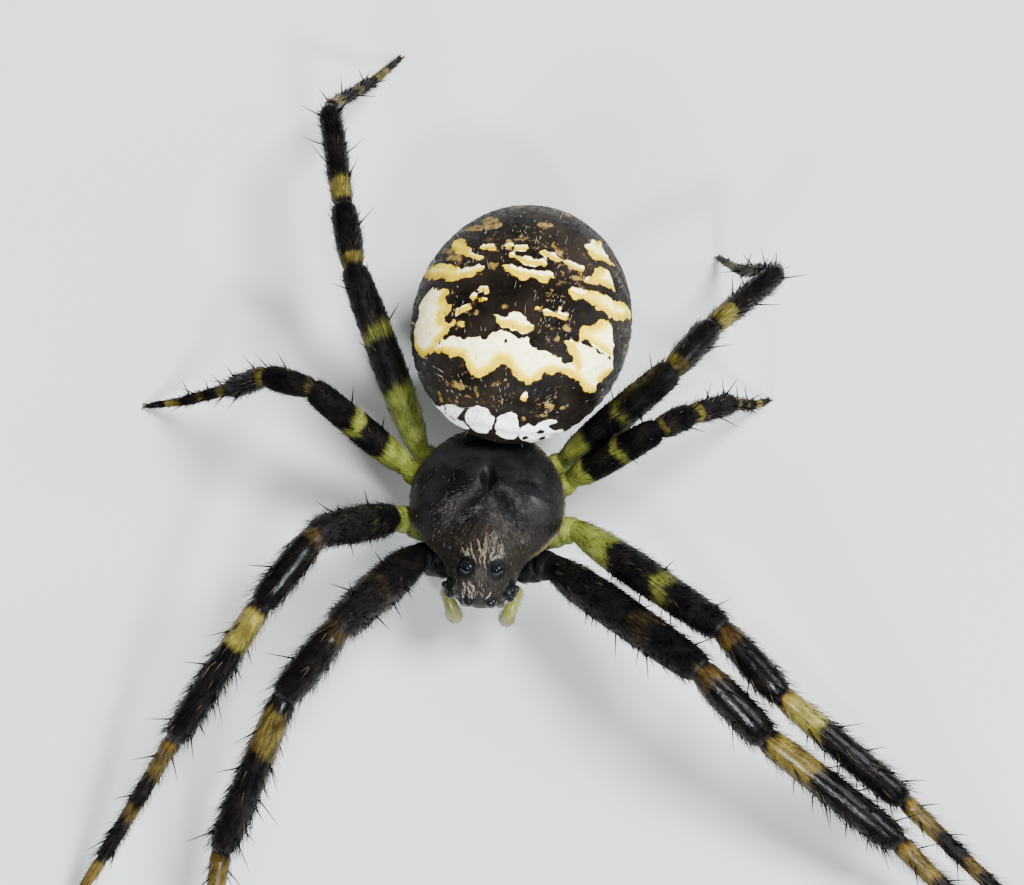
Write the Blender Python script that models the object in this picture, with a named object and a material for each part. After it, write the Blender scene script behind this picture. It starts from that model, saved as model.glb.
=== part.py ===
# A life-size female orb-weaver spider of the genus Gea, standing on a floor with her legs spread.
# Lengths are in millimetres while a solid is shaped, and each finished solid is scaled to metres.
# She faces -Y, the floor is z = 0 and her left side is +X. Angles are in degrees.
import math
import random

import bmesh
import bpy
import numpy as np
from mathutils import Matrix, Vector

MM = 0.001
# Moves the model so that the middle of its outline stands over the origin
CENTRE_X = -2.08
CENTRE_Y = 0.37
GAP = 0.1
EYE_GAP = 0.04
SEED = 7

# Cephalothorax: lengths along the body, from the blunt front of the head to the rear margin
CARAPACE_LENGTH = 3.44
CARAPACE_BLUNTNESS = 2.8
MARGIN_Z = 2.35
# Pairs of place along the body, -1 at the front and 1 at the rear, and size
CARAPACE_HALF_WIDTH = (
    (-1.0, 0.78), (-0.81, 0.77), (-0.64, 0.75), (-0.49, 0.82), (-0.32, 1.1), (-0.12, 1.36),
    (0.12, 1.43), (0.35, 1.41), (0.58, 1.33), (0.78, 1.22), (1.0, 1.05),
)
CARAPACE_RISE = (
    (-1.0, 0.72), (-0.93, 0.76), (-0.81, 0.89), (-0.64, 0.87), (-0.32, 0.76), (0.12, 0.78),
    (0.35, 0.75), (0.58, 0.6), (0.78, 0.38), (1.0, 0.15),
)
CARAPACE_DEPTH = (
    (-1.0, 0.5), (-0.81, 0.55), (-0.64, 0.57), (-0.49, 0.76), (-0.3, 0.94), (0.0, 0.97),
    (0.5, 1.0), (1.0, 1.0),
)
PIT_Y = 0.45
PIT_DEPTH = 0.17
PIT_WIDTH = 0.14
PIT_LENGTH = 0.24
NECK_GROOVE_DEPTH = 0.08
NECK_GROOVE_WIDTH = 0.13
NECK_GROOVE_END = (0.74, -0.66)

# Eyes: place along the carapace, turn around its long axis, radius
EYES = {
    "anterior_median": (-0.985, 32.0, 0.115),
    "posterior_median": (-0.71, 63.0, 0.13),
}
TUBERCLE_PLACE = (-0.845, 20.0)
TUBERCLE_RADIUS = 0.17
LATERAL_EYE_RADIUS = 0.075
# Directions in which the lateral eyes look from their tubercle, outward, forward and up
LATERAL_EYES = {
    "anterior_lateral": (0.3, 1.0, 0.0),
    "posterior_lateral": (0.9, -0.1, 0.45),
}
EYE_SINK = 0.35

# Mouth: the fangs' bases, fangs, feelers and the plates under the body
CHELICERA_CENTRE = (0.27, -1.08, 1.55)
CHELICERA_RADII = (0.22, 0.2, 0.55)
FANG_PATH = ((0.31, -1.13, 1.14), (0.33, -1.15, 0.98), (0.27, -1.1, 0.88), (0.17, -1.02, 0.85))
FANG_RADII = (0.09, 0.085, 0.06, 0.02)
PALP_PATH = (
    (0.66, -1.02, 1.42), (0.71, -1.17, 1.62), (0.67, -1.36, 1.72), (0.58, -1.51, 1.62), (0.5, -1.56, 1.3),
    (0.48, -1.52, 1.0),
)
PALP_RADII = (0.13, 0.13, 0.13, 0.14, 0.155, 0.1)
MOUTH_CENTRE = (0.0, -0.6, 1.36)
MOUTH_RADII = (0.3, 0.16, 0.2)
STERNUM_CENTRE = (0.0, 0.26, 1.34)
STERNUM_RADII = (0.6, 0.6, 0.13)

# Abdomen: an egg that overhangs the carapace, with its rear lower and swung to her left
ABDOMEN_CENTRE = (0.389, 3.538, 3.0)
ABDOMEN_HALF_LENGTH = 2.45
ABDOMEN_HALF_WIDTH = 2.02
ABDOMEN_RISE = 1.75
ABDOMEN_DEPTH = 1.5
ABDOMEN_PITCH = 12.0
ABDOMEN_YAW = 8.0
PEDICEL_PATH = ((0.0, 1.42, 2.2), (0.06, 1.7, 2.3), (0.16, 2.05, 2.45))
PEDICEL_RADII = (0.2, 0.16, 0.2)
SPINNERET_PLACE = 0.7
SPINNERET_LENGTH = 0.42
SPINNERET_RADIUS = 0.14
SPINNERET_SPREAD = 0.13
SPINNERET_TIP = 0.07
# How far the cones point to the rear, and how far each splays sideways and back to the middle
SPINNERET_REARWARD = 0.5
SPINNERET_SPLAY = 0.2
SPINNERET_CLOSE = 0.15
# Pairs of height along the mound under the cones and its radius
SPINNERET_MOUND = ((-0.16, 0.294), (0.1, 0.252))

# Legs: lengths of the femur, patella, tibia, metatarsus and tarsus of each pair
LEG_LENGTHS = {
    1: (3.9, 1.7, 3.1, 3.2, 1.7),
    2: (3.7, 1.6, 3.0, 2.9, 1.6),
    3: (2.4, 0.9, 1.5, 1.6, 1.0),
    4: (3.6, 1.3, 2.15, 2.5, 1.4),
}
LEG_THICKNESS = {1: 1.04, 2: 0.93, 3: 0.78, 4: 0.82}
# Where each coxa starts at the sternum and where the femur starts, on her left side
COXA_START = {1: (0.50, -0.64, 1.55), 2: (0.74, -0.11, 1.66), 3: (0.74, 0.42, 1.62), 4: (0.47, 0.98, 1.46)}
FEMUR_START = {1: (1.22, -0.70, 2.0), 2: (1.62, -0.05, 2.2), 3: (1.48, 0.95, 2.08), 4: (1.32, 1.45, 1.68)}
# Heading outward from straight ahead, and pitch above the level, of femur, patella and tibia.
# The last pair is the headings of the metatarsus and the tarsus, whose pitch meets the floor.
LEG_POSE = {
    (1, "left"): ((50, 22), (53, -26), (61, -23), (52, 42)),
    (1, "right"): ((24, 47), (42, -36), (23, -35), (5, 5)),
    (2, "left"): ((51, 20), (49, -20), (60, -27), (54, 62)),
    (2, "right"): ((37, 58), (37, -21), (36, -35), (37, 37)),
    (3, "left"): ((103, 50), (132, -32), (134, -46), (145, 145)),
    (3, "right"): ((117, 33), (104, -4), (109, -60), (101, 101)),
    (4, "left"): ((110, 57), (148, -17), (143, -24), (215, 207)),
    (4, "right"): ((154, 25), (167, -2), (168, -7), (203, 203)),
}
TARSUS_RISE = 8.0
FOOT_LIFT = 0.07
FOOT_REACH = 0.12
# Pairs of place along a length of leg and its radius there
FEMUR_PROFILE = (
    (0.0, 0.2), (0.1, 0.3), (0.2, 0.28), (0.27, 0.32), (0.43, 0.365), (0.7, 0.355), (0.93, 0.325),
    (1.0, 0.3),
)
TIBIA_PROFILE = (
    (0.0, 0.28), (0.08, 0.31), (0.25, 0.31), (0.34, 0.27), (0.44, 0.29), (0.62, 0.285), (0.9, 0.255),
    (1.0, 0.23),
)
FOOT_PROFILE = ((0.0, 0.18), (0.06, 0.2), (0.3, 0.18), (0.62, 0.155), (0.7, 0.145), (0.95, 0.11), (1.0, 0.1))
# Share of the first length of leg that the coxa and trochanter take
COXA_SHARE = 0.3
BEND_RADIUS = 0.45
BEND_STEPS = 2
JOINT_FLAT = 0.08
POINT_SPACING = 0.8
# Spines of each length of leg: pairs of place along it and turn from its top, and their length
SPINES = {
    "femur": (((0.5, 35.0), (0.66, -40.0), (0.85, 15.0)), 0.5),
    "tibia": (((0.3, 10.0), (0.5, 50.0), (0.6, -55.0), (0.82, -10.0)), 0.6),
    "foot": (((0.1, 50.0), (0.22, -50.0), (0.42, 10.0)), 0.5),
}
SPINE_LEAN = 52.0
SPINE_RADIUS = 0.07
SPINE_TIP_RADIUS = 0.02
SPINE_SIDES = 4
SPINE_SPREAD = 6.0

# Materials: colour, roughness
BLACK_SHELL = ((0.02, 0.018, 0.017), 0.5)
LEG_BLACK = ((0.025, 0.022, 0.02), 0.35)
LEG_AMBER = ((0.42, 0.25, 0.06), 0.4)
EYE_BLACK = ((0.004, 0.004, 0.004), 0.05)
FANG_BROWN = ((0.06, 0.02, 0.01), 0.25)
PALP_PALE = ((0.5, 0.4, 0.2), 0.45)
ABDOMEN_BLACK = ((0.03, 0.022, 0.018), 0.55)

SHARP_ANGLE = 40.0
SIDES = {"left": 1, "right": -1}
materials = {}


def material(name, colour, roughness):
    if name not in materials:
        made = bpy.data.materials.new(name)
        made.use_nodes = True
        shader = made.node_tree.nodes["Principled BSDF"]
        shader.inputs["Base Color"].default_value = (*colour, 1.0)
        shader.inputs["Roughness"].default_value = roughness
        materials[name] = made
    return materials[name]


def mirrored(point, side):
    return Vector((point[0] * SIDES[side], point[1], point[2]))


def profile(place, table):
    """Smooth curve through the pairs of a table, which are sorted by place."""
    places = [pair[0] for pair in table]
    sizes = [pair[1] for pair in table]
    slopes = np.gradient(sizes, places)
    place = min(max(place, places[0]), places[-1])
    index = min(int(np.searchsorted(places, place, side="right")) - 1, len(places) - 2)
    width = places[index + 1] - places[index]
    part = (place - places[index]) / width
    blend = part * part * (3 - 2 * part)
    rise = sizes[index] + (sizes[index + 1] - sizes[index]) * blend
    lead = slopes[index] * width * part * (1 - part) ** 2
    trail = slopes[index + 1] * width * part * part * (1 - part)
    return rise + lead - trail


def new_object(name, shape):
    mesh = bpy.data.meshes.new(name)
    shape.to_mesh(mesh)
    shape.free()
    made = bpy.data.objects.new(name, mesh)
    scene_root.objects.link(made)
    return made


def closed_round(name, place_of, around, along):
    """Sphere whose vertices are moved by a function of place along, from -1 to 1, and turn."""
    shape = bmesh.new()
    bmesh.ops.create_uvsphere(shape, u_segments=around, v_segments=along, radius=1.0)
    for vertex in shape.verts:
        turn = math.degrees(math.atan2(vertex.co.y, vertex.co.x))
        vertex.co = place_of(max(-1.0, min(1.0, vertex.co.z)), turn)
    shape.normal_update()
    bmesh.ops.recalc_face_normals(shape, faces=shape.faces)
    return new_object(name, shape)


def egg(name, centre, radii, grow=0.0, around=16, along=10):
    def place_of(height, turn):
        ring = math.sqrt(max(0.0, 1 - height * height))
        return Vector((
            centre[0] + (radii[0] + grow) * ring * math.cos(math.radians(turn)),
            centre[1] + (radii[1] + grow) * ring * math.sin(math.radians(turn)),
            centre[2] + (radii[2] + grow) * height,
        ))

    return closed_round(name, place_of, around, along)


def ball(name, centre, radius):
    shape = bmesh.new()
    bmesh.ops.create_icosphere(shape, subdivisions=2, radius=radius, matrix=Matrix.Translation(centre))
    return new_object(name, shape)


def tube(name, points, radii, grow=0.0, resolution=2):
    """Closed tube along a line of points. A grown one is wider and longer at both ends."""
    points = [Vector(point) for point in points]
    if grow:
        points[0] -= (points[1] - points[0]).normalized() * grow
        points[-1] += (points[-1] - points[-2]).normalized() * grow
    curve = bpy.data.curves.new(name, "CURVE")
    curve.dimensions = "3D"
    curve.bevel_depth = 1.0
    curve.bevel_resolution = resolution
    curve.use_fill_caps = True
    spline = curve.splines.new("POLY")
    spline.points.add(len(points) - 1)
    for spot, point, radius in zip(spline.points, points, radii):
        spot.co = (*point, 1.0)
        spot.radius = radius + grow
    guide = bpy.data.objects.new(name, curve)
    scene_root.objects.link(guide)
    bpy.context.view_layer.update()
    mesh = bpy.data.meshes.new_from_object(guide.evaluated_get(bpy.context.evaluated_depsgraph_get()))
    shape = bmesh.new()
    shape.from_mesh(mesh)
    bmesh.ops.remove_doubles(shape, verts=shape.verts, dist=0.0001)
    bmesh.ops.recalc_face_normals(shape, faces=shape.faces)
    bpy.data.objects.remove(guide)
    bpy.data.curves.remove(curve)
    bpy.data.meshes.remove(mesh)
    return new_object(name, shape)


def keep_largest(shape):
    """Leaves only the largest of the closed surfaces in a shape."""
    unseen = set(shape.faces)
    groups = []
    while unseen:
        group = set()
        front = [unseen.pop()]
        while front:
            face = front.pop()
            group.add(face)
            for edge in face.edges:
                for other in edge.link_faces:
                    if other in unseen:
                        unseen.remove(other)
                        front.append(other)
        groups.append(group)
    groups.sort(key=lambda group: sum(face.calc_area() for face in group))
    spare = [face for group in groups[:-1] for face in group]
    if spare:
        bmesh.ops.delete(shape, geom=spare, context="FACES")


def combine(base, pieces, operation):
    """Adds the pieces to the base, or cuts them from it, and removes them."""
    if not pieces:
        return
    group = bpy.data.collections.new("cutters")
    bpy.context.scene.collection.children.link(group)
    for piece in pieces:
        scene_root.objects.unlink(piece)
        group.objects.link(piece)
    step = base.modifiers.new("combine", "BOOLEAN")
    step.operation = operation
    step.operand_type = "COLLECTION"
    step.collection = group
    step.solver = "EXACT"
    bpy.context.view_layer.update()
    result = bpy.data.meshes.new_from_object(base.evaluated_get(bpy.context.evaluated_depsgraph_get()))
    base.modifiers.clear()
    shape = bmesh.new()
    shape.from_mesh(result)
    keep_largest(shape)
    shape.to_mesh(base.data)
    shape.free()
    bpy.data.meshes.remove(result)
    for piece in pieces:
        bpy.data.objects.remove(piece)
    bpy.data.collections.remove(group)


def carapace_point(place, turn):
    """Point of the cephalothorax: -1 front to 1 rear, turned from her left over the top."""
    ring = max(0.0, 1 - abs(place) ** CARAPACE_BLUNTNESS) ** (1 / CARAPACE_BLUNTNESS)
    width = profile(place, CARAPACE_HALF_WIDTH) * ring
    across = math.cos(math.radians(turn))
    upward = math.sin(math.radians(turn))
    y = place * CARAPACE_LENGTH / 2
    if upward >= 0:
        x = width * across
        return Vector((x, y, MARGIN_Z + profile(place, CARAPACE_RISE) * ring * upward - hollows(x, y)))
    # The underside narrows faster than the top, for the legs' sockets
    x = width * (across + across ** 3) / 2
    return Vector((x, y, MARGIN_Z + profile(place, CARAPACE_DEPTH) * ring * upward))


def hollows(x, y):
    """Depth of the thoracic pit and of the grooves that set off the head."""
    pit = PIT_DEPTH * math.exp(-(x / PIT_WIDTH) ** 2 - ((y - PIT_Y) / PIT_LENGTH) ** 2)
    end = Vector(NECK_GROOVE_END)
    start = Vector((0.0, PIT_Y))
    spot = Vector((abs(x), y))
    part = max(0.0, min(1.0, (spot - start).dot(end - start) / (end - start).length_squared))
    away = (spot - start.lerp(end, part)).length
    groove = NECK_GROOVE_DEPTH * math.exp(-(away / NECK_GROOVE_WIDTH) ** 2)
    return max(pit, groove)


def carapace_normal(place, turn):
    step = 0.01
    along = carapace_point(place + step, turn) - carapace_point(place - step, turn)
    around = carapace_point(place, turn + 1) - carapace_point(place, turn - 1)
    return around.cross(along).normalized() * -1


def eye_places():
    """Centre and radius of each eye by name."""
    places = {}
    for side in SIDES:
        for name, (place, turn, radius) in EYES.items():
            spot = carapace_point(place, turn) - carapace_normal(place, turn) * radius * EYE_SINK
            places[f"eye_{name}_{side}"] = (mirrored(spot, side), radius)
        tubercle = carapace_point(*TUBERCLE_PLACE)
        for name, (outward, forward, up) in LATERAL_EYES.items():
            look = Vector((outward, -forward, up)).normalized()
            spot = tubercle + look * (TUBERCLE_RADIUS - LATERAL_EYE_RADIUS * EYE_SINK)
            places[f"eye_{name}_{side}"] = (mirrored(spot, side), LATERAL_EYE_RADIUS)
    return places


def abdomen_frame():
    """The abdomen's own directions: across to her left, along to the rear, and up."""
    yaw = math.radians(ABDOMEN_YAW)
    pitch = math.radians(ABDOMEN_PITCH)
    along = Vector((math.sin(yaw) * math.cos(pitch), math.cos(yaw) * math.cos(pitch), -math.sin(pitch)))
    across = Vector((math.cos(yaw), -math.sin(yaw), 0.0))
    return across, along, across.cross(along)


def abdomen_point(place, turn, grow=0.0):
    """Point of the abdomen: -1 front to 1 rear, turned from her left over the top."""
    across, along, up = abdomen_frame()
    ring = math.sqrt(max(0.0, 1 - place * place))
    wide = (ABDOMEN_HALF_WIDTH + grow) * ring * math.cos(math.radians(turn))
    tall = math.sin(math.radians(turn))
    tall *= ring * ((ABDOMEN_RISE if tall > 0 else ABDOMEN_DEPTH) + grow)
    return Vector(ABDOMEN_CENTRE) + across * wide + along * (ABDOMEN_HALF_LENGTH + grow) * place + up * tall


def abdomen(name, grow=0.0):
    return closed_round(name, lambda place, turn: abdomen_point(place, turn, grow), 32, 22)


def blunt_place(height):
    """Place along the carapace of a ring of the sphere, spaced for its blunt ends."""
    return math.copysign(abs(height) ** (2 / CARAPACE_BLUNTNESS), height)


def direction(side, heading, pitch):
    flat = math.cos(math.radians(pitch))
    return Vector((
        SIDES[side] * math.sin(math.radians(heading)) * flat,
        -math.cos(math.radians(heading)) * flat,
        math.sin(math.radians(pitch)),
    ))


def leg_corners(pair, side):
    """The joints of one leg, from the coxa's start to the tip of the tarsus."""
    *upper, (foot_heading, toe_heading) = LEG_POSE[pair, side]
    corners = [mirrored(COXA_START[pair], side), mirrored(FEMUR_START[pair], side)]
    for length, (heading, pitch) in zip(LEG_LENGTHS[pair], upper):
        corners.append(corners[-1] + direction(side, heading, pitch) * length)
    metatarsus, tarsus = LEG_LENGTHS[pair][3:]
    drop = corners[-1].z - FOOT_LIFT
    rise = math.radians(TARSUS_RISE)
    level = metatarsus + tarsus * math.cos(rise)
    reach = math.hypot(level, tarsus * math.sin(rise))
    slope = math.degrees(math.asin(drop / reach) + math.atan2(tarsus * math.sin(rise), level))
    corners.append(corners[-1] + direction(side, foot_heading, -slope) * metatarsus)
    corners.append(corners[-1] + direction(side, toe_heading, TARSUS_RISE - slope) * tarsus)
    return corners


def half_bend(corner, along, other, flat):
    """Points of an arc from a straight stretch to the middle of its bend into another.

    A flat more than nothing ends the arc with a straight piece, half a gap short of the middle."""
    angle = along.angle(other)
    half = angle / 2
    sideways = (other - along * math.cos(angle)).normalized()
    middle = flat + (GAP / 2 if flat else 0.0)
    spot = corner - along * (BEND_RADIUS * math.tan(half) + middle / math.cos(half))
    points = [spot]
    step = half / BEND_STEPS
    chord = 2 * BEND_RADIUS * math.sin(step / 2)
    for index in range(BEND_STEPS):
        turn = (index + 0.5) * step
        spot = spot + (along * math.cos(turn) + sideways * math.sin(turn)) * chord
        points.append(spot)
    if flat:
        points.append(spot + (along + other).normalized() * flat)
    return points


def leg_lines(pair, side):
    """Centre lines of the three lengths of one leg, parted in the bends of knee and ankle."""
    corners = leg_corners(pair, side)
    ways = [(b - a).normalized() for a, b in zip(corners, corners[1:])]
    lines = [[corners[0]]]
    for index in range(1, len(corners) - 1):
        parted = index in (2, 4)
        flat = JOINT_FLAT if parted else 0.0
        before = half_bend(corners[index], ways[index - 1], ways[index], flat)
        after = half_bend(corners[index], -ways[index], -ways[index - 1], flat)[::-1]
        lines[-1] += before
        if parted:
            lines.append(after)
        else:
            lines[-1] += after[1:]
    lines[-1] += [corners[-1], corners[-1] + ways[-1] * FOOT_REACH]
    return [spaced(line) for line in lines]


def spaced(line):
    """The line with points added in its long straight stretches."""
    points = [line[0]]
    for start, end in zip(line, line[1:]):
        count = max(1, round((end - start).length / POINT_SPACING))
        points += [start.lerp(end, index / count) for index in range(1, count + 1)]
    return points


def line_places(line):
    """Share of the line's length at each of its points."""
    steps = [0.0] + [(b - a).length for a, b in zip(line, line[1:])]
    run = np.cumsum(steps)
    return run / run[-1]


def line_radii(line, table, thickness):
    return [profile(place, table) * thickness for place in line_places(line)]


def coxa(name, pair, side, grow):
    """The first stretch of a leg, grown to cut its socket."""
    line = leg_lines(pair, side)[0]
    count = sum(place < COXA_SHARE for place in line_places(line))
    radii = line_radii(line, FEMUR_PROFILE, LEG_THICKNESS[pair])
    return tube(name, line[:count], radii[:count], grow)


def flatten_foot(foot):
    """Cuts the tip of the tarsus level at the floor."""
    shape = bmesh.new()
    shape.from_mesh(foot.data)
    everything = shape.verts[:] + shape.edges[:] + shape.faces[:]
    cut = bmesh.ops.bisect_plane(
        shape, geom=everything, plane_co=(0, 0, 0), plane_no=(0, 0, -1), clear_outer=True
    )
    rim = [item for item in cut["geom_cut"] if isinstance(item, bmesh.types.BMEdge)]
    bmesh.ops.contextual_create(shape, geom=rim)
    bmesh.ops.recalc_face_normals(shape, faces=shape.faces)
    shape.to_mesh(foot.data)
    shape.free()


def finish(made, name, slot):
    """Scales a shaped solid to metres, moves it over the origin and gives it its material."""
    made.name = name
    made.data.name = name
    made.data.transform(Matrix.Scale(MM, 4) @ Matrix.Translation((CENTRE_X, CENTRE_Y, 0.0)))
    made.data.materials.clear()
    made.data.materials.append(slot)
    made.data.shade_smooth()
    made.data.set_sharp_from_angle(angle=math.radians(SHARP_ANGLE))


def spine(line, radii, place, turn, length):
    """A tapered spine that leans towards the foot from the skin of a length of leg."""
    places = line_places(line)
    index = min(int(np.searchsorted(places, place)), len(line) - 1)
    part = (place - places[index - 1]) / (places[index] - places[index - 1])
    along = (line[index] - line[index - 1]).normalized()
    top = (Vector((0.0, 0.0, 1.0)) - along * along.z).normalized()
    turn = math.radians(turn)
    outward = top * math.cos(turn) + along.cross(top) * math.sin(turn)
    lean = math.radians(SPINE_LEAN)
    way = along * math.cos(lean) + outward * math.sin(lean)
    start = line[index - 1].lerp(line[index], part) + outward * (radii[index] - SPINE_RADIUS * 2)
    reach = length + SPINE_RADIUS * 2
    place_of = Matrix.Translation(start + way * reach / 2) @ way.to_track_quat("Z", "Y").to_matrix().to_4x4()
    shape = bmesh.new()
    bmesh.ops.create_cone(
        shape, cap_ends=True, segments=SPINE_SIDES, radius1=SPINE_RADIUS, radius2=SPINE_TIP_RADIUS,
        depth=reach, matrix=place_of,
    )
    return new_object("spine", shape)


def build_cephalothorax():
    body = closed_round(
        "body", lambda height, turn: carapace_point(blunt_place(height), turn), 32, 24
    )
    tubercles = [
        ball("tubercle", mirrored(carapace_point(*TUBERCLE_PLACE), side), TUBERCLE_RADIUS) for side in SIDES
    ]
    combine(body, tubercles, "UNION")
    cutters = [
        egg("mouth", MOUTH_CENTRE, MOUTH_RADII, GAP),
        egg("sternum", STERNUM_CENTRE, STERNUM_RADII, GAP),
        tube("pedicel", PEDICEL_PATH, PEDICEL_RADII, GAP),
        abdomen("overhang", GAP),
    ]
    for centre, radius in eye_places().values():
        cutters.append(ball("socket", centre, radius + EYE_GAP))
    for side in SIDES:
        cutters.append(egg("chelicera", mirrored(CHELICERA_CENTRE, side), CHELICERA_RADII, GAP))
        cutters.append(tube("palp", [mirrored(p, side) for p in PALP_PATH], PALP_RADII, GAP))
        for pair in LEG_LENGTHS:
            cutters.append(coxa("coxa", pair, side, GAP))
    combine(body, cutters, "DIFFERENCE")
    finish(body, "cephalothorax", material("black_shell", *BLACK_SHELL))


def build_eyes():
    for name, (centre, radius) in eye_places().items():
        finish(ball(name, centre, radius), name, material("eye", *EYE_BLACK))


def build_mouth():
    finish(egg("mouth", MOUTH_CENTRE, MOUTH_RADII), "mouthparts", material("black_shell", *BLACK_SHELL))
    plate = egg("sternum", STERNUM_CENTRE, STERNUM_RADII)
    finish(plate, "sternum", material("black_shell", *BLACK_SHELL))
    for side in SIDES:
        base = egg("chelicera", mirrored(CHELICERA_CENTRE, side), CHELICERA_RADII)
        path = [mirrored(point, side) for point in FANG_PATH]
        combine(base, [tube("socket", path, FANG_RADII, EYE_GAP)], "DIFFERENCE")
        finish(base, f"chelicera_{side}", material("black_shell", *BLACK_SHELL))
        finish(tube("fang", path, FANG_RADII), f"fang_{side}", material("fang", *FANG_BROWN))
        palp = tube("palp", [mirrored(p, side) for p in PALP_PATH], PALP_RADII)
        finish(palp, f"palp_{side}", material("palp_pale", *PALP_PALE))


def spinneret_cones(grow):
    """Two pairs of short cones under the rear of the abdomen, joined by the skin round them."""
    across, along, up = abdomen_frame()
    root = abdomen_point(SPINNERET_PLACE, -90)
    pointing = (along * SPINNERET_REARWARD - up).normalized()
    line = [root + pointing * height for height, radius in SPINNERET_MOUND]
    base = tube("mound", line, [radius for height, radius in SPINNERET_MOUND], grow, resolution=4)
    cones = []
    for sideways in (-1, 1):
        for rearward in (-1, 1):
            start = root + (across * sideways + along * rearward) * SPINNERET_SPREAD
            way = pointing + across * sideways * SPINNERET_SPLAY - along * rearward * SPINNERET_CLOSE
            end = start + way * SPINNERET_LENGTH
            cones.append(tube("cone", [start, end], [SPINNERET_RADIUS, SPINNERET_TIP], grow))
    combine(base, cones, "UNION")
    return base


def build_abdomen():
    body = abdomen("abdomen")
    cutters = [tube("pedicel", PEDICEL_PATH, PEDICEL_RADII, GAP), spinneret_cones(GAP)]
    combine(body, cutters, "DIFFERENCE")
    finish(body, "abdomen", material("abdomen_black", *ABDOMEN_BLACK))
    finish(spinneret_cones(0.0), "spinnerets", material("black_shell", *BLACK_SHELL))
    stalk = tube("pedicel", PEDICEL_PATH, PEDICEL_RADII)
    finish(stalk, "pedicel", material("black_shell", *BLACK_SHELL))


def build_legs():
    profiles = {"femur": FEMUR_PROFILE, "tibia": TIBIA_PROFILE, "foot": FOOT_PROFILE}
    chance = random.Random(SEED)
    for pair, side in LEG_POSE:
        for line, (length, table) in zip(leg_lines(pair, side), profiles.items()):
            radii = line_radii(line, table, LEG_THICKNESS[pair])
            part = tube(length, line, radii)
            if length == "foot":
                flatten_foot(part)
            places, spine_length = SPINES[length]
            spines = []
            for place, turn in places:
                turn += chance.uniform(-SPINE_SPREAD, SPINE_SPREAD)
                spines.append(spine(line, radii, place, turn, spine_length * LEG_THICKNESS[pair]))
            combine(part, spines, "UNION")
            slot, colour = ("leg_amber", LEG_AMBER) if length == "foot" else ("leg_black", LEG_BLACK)
            tone = material(slot, *colour)
            finish(part, f"leg_{pair}_{side}_{length}", tone)


for old in list(bpy.data.objects):
    bpy.data.objects.remove(old)
scene_root = bpy.data.collections.new("gea_spider")
bpy.context.scene.collection.children.link(scene_root)
build_cephalothorax()
build_eyes()
build_mouth()
build_abdomen()
build_legs()
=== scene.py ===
import math

import bmesh
import bpy
import numpy as np
from mathutils import Matrix, Vector


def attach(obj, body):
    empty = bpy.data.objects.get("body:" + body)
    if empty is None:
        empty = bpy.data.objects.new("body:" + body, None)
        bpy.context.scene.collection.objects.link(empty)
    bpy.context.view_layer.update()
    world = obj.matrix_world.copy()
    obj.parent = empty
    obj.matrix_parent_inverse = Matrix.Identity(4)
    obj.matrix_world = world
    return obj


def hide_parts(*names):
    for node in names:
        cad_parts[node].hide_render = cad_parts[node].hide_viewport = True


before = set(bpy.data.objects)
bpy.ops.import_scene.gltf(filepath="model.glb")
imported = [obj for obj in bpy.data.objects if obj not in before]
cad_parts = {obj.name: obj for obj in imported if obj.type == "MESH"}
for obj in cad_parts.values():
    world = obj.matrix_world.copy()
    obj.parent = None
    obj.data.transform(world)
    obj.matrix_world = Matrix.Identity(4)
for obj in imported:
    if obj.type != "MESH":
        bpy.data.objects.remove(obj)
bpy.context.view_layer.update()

mm = 0.001
shift = np.array([-2.08, 0.37, 0.0])  # from the spider's own middle to the model's origin, in mm
sides = {"left": 1, "right": -1}
chance = np.random.default_rng(11)


# shapes are worked out in mm and stored in metres

def curveAt(places, table):
    # smooth curve through pairs of place and size
    xs, ys = np.array(table, float).T
    slopes = np.gradient(ys, xs)
    places = np.clip(places, xs[0], xs[-1])
    index = np.clip(np.searchsorted(xs, places, side="right") - 1, 0, len(xs) - 2)
    width = xs[index + 1] - xs[index]
    part = (places - xs[index]) / width
    blend = part * part * (3 - 2 * part)
    rise = ys[index] + (ys[index + 1] - ys[index]) * blend
    rise += slopes[index] * width * part * (1 - part) ** 2
    return rise - slopes[index + 1] * width * part ** 2 * (1 - part)


def unit(rows):
    return rows / np.maximum(np.linalg.norm(rows, axis=-1, keepdims=True), 1e-12)


def smoothStep(low, high, values):
    # 0 at the low value, 1 at the high one
    part = np.clip((values - low) / (high - low), 0, 1)
    return part * part * (3 - 2 * part)


def rounded(inward):
    # rounds an end off: 0 at its tip and 1 from one unit inward
    return np.sqrt(1 - np.clip(1 - inward, 0, 1) ** 2)


def mounds(x, y, rows):
    # sum of round mounds, each given by its middle, height and width
    return sum(high * np.exp(-((x - p) ** 2 + (y - q) ** 2) / wide ** 2) for p, q, high, wide in rows)


def nearLine(spots, start, end):
    # share of the way along a line where each spot is nearest to it, and the distance
    way = end - start
    part = np.clip(((spots - start) @ way) / max(way @ way, 1e-9), 0, 1)
    return part, np.linalg.norm(spots - start - way * part[:, None], axis=1)


def lineDistance(spots, line):
    line = np.array(line, float)
    return np.min([nearLine(spots, start, end)[1] for start, end in zip(line, line[1:])], axis=0)


def roundAbout(top, side, turns):
    return top * np.cos(turns)[:, None] + side * np.sin(turns)[:, None]


def normalsOf(surface, heights, turns):
    # outward directions of a surface given by height -1..1 and turn in radians
    step = 0.002

    def crossed(heights, turns):
        ahead, behind = np.clip(heights + step, -1, 1), np.clip(heights - step, -1, 1)
        along = surface(ahead, turns) - surface(behind, turns)
        around = surface(heights, turns + step) - surface(heights, turns - step)
        return np.cross(around, along)

    level, ring = np.zeros(8), np.arange(8) * math.pi / 4
    outward = surface(level, ring) - surface(level, ring + math.pi)
    return unit(crossed(heights, turns)) * np.sign(np.sum(crossed(level, ring) * outward))


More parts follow.
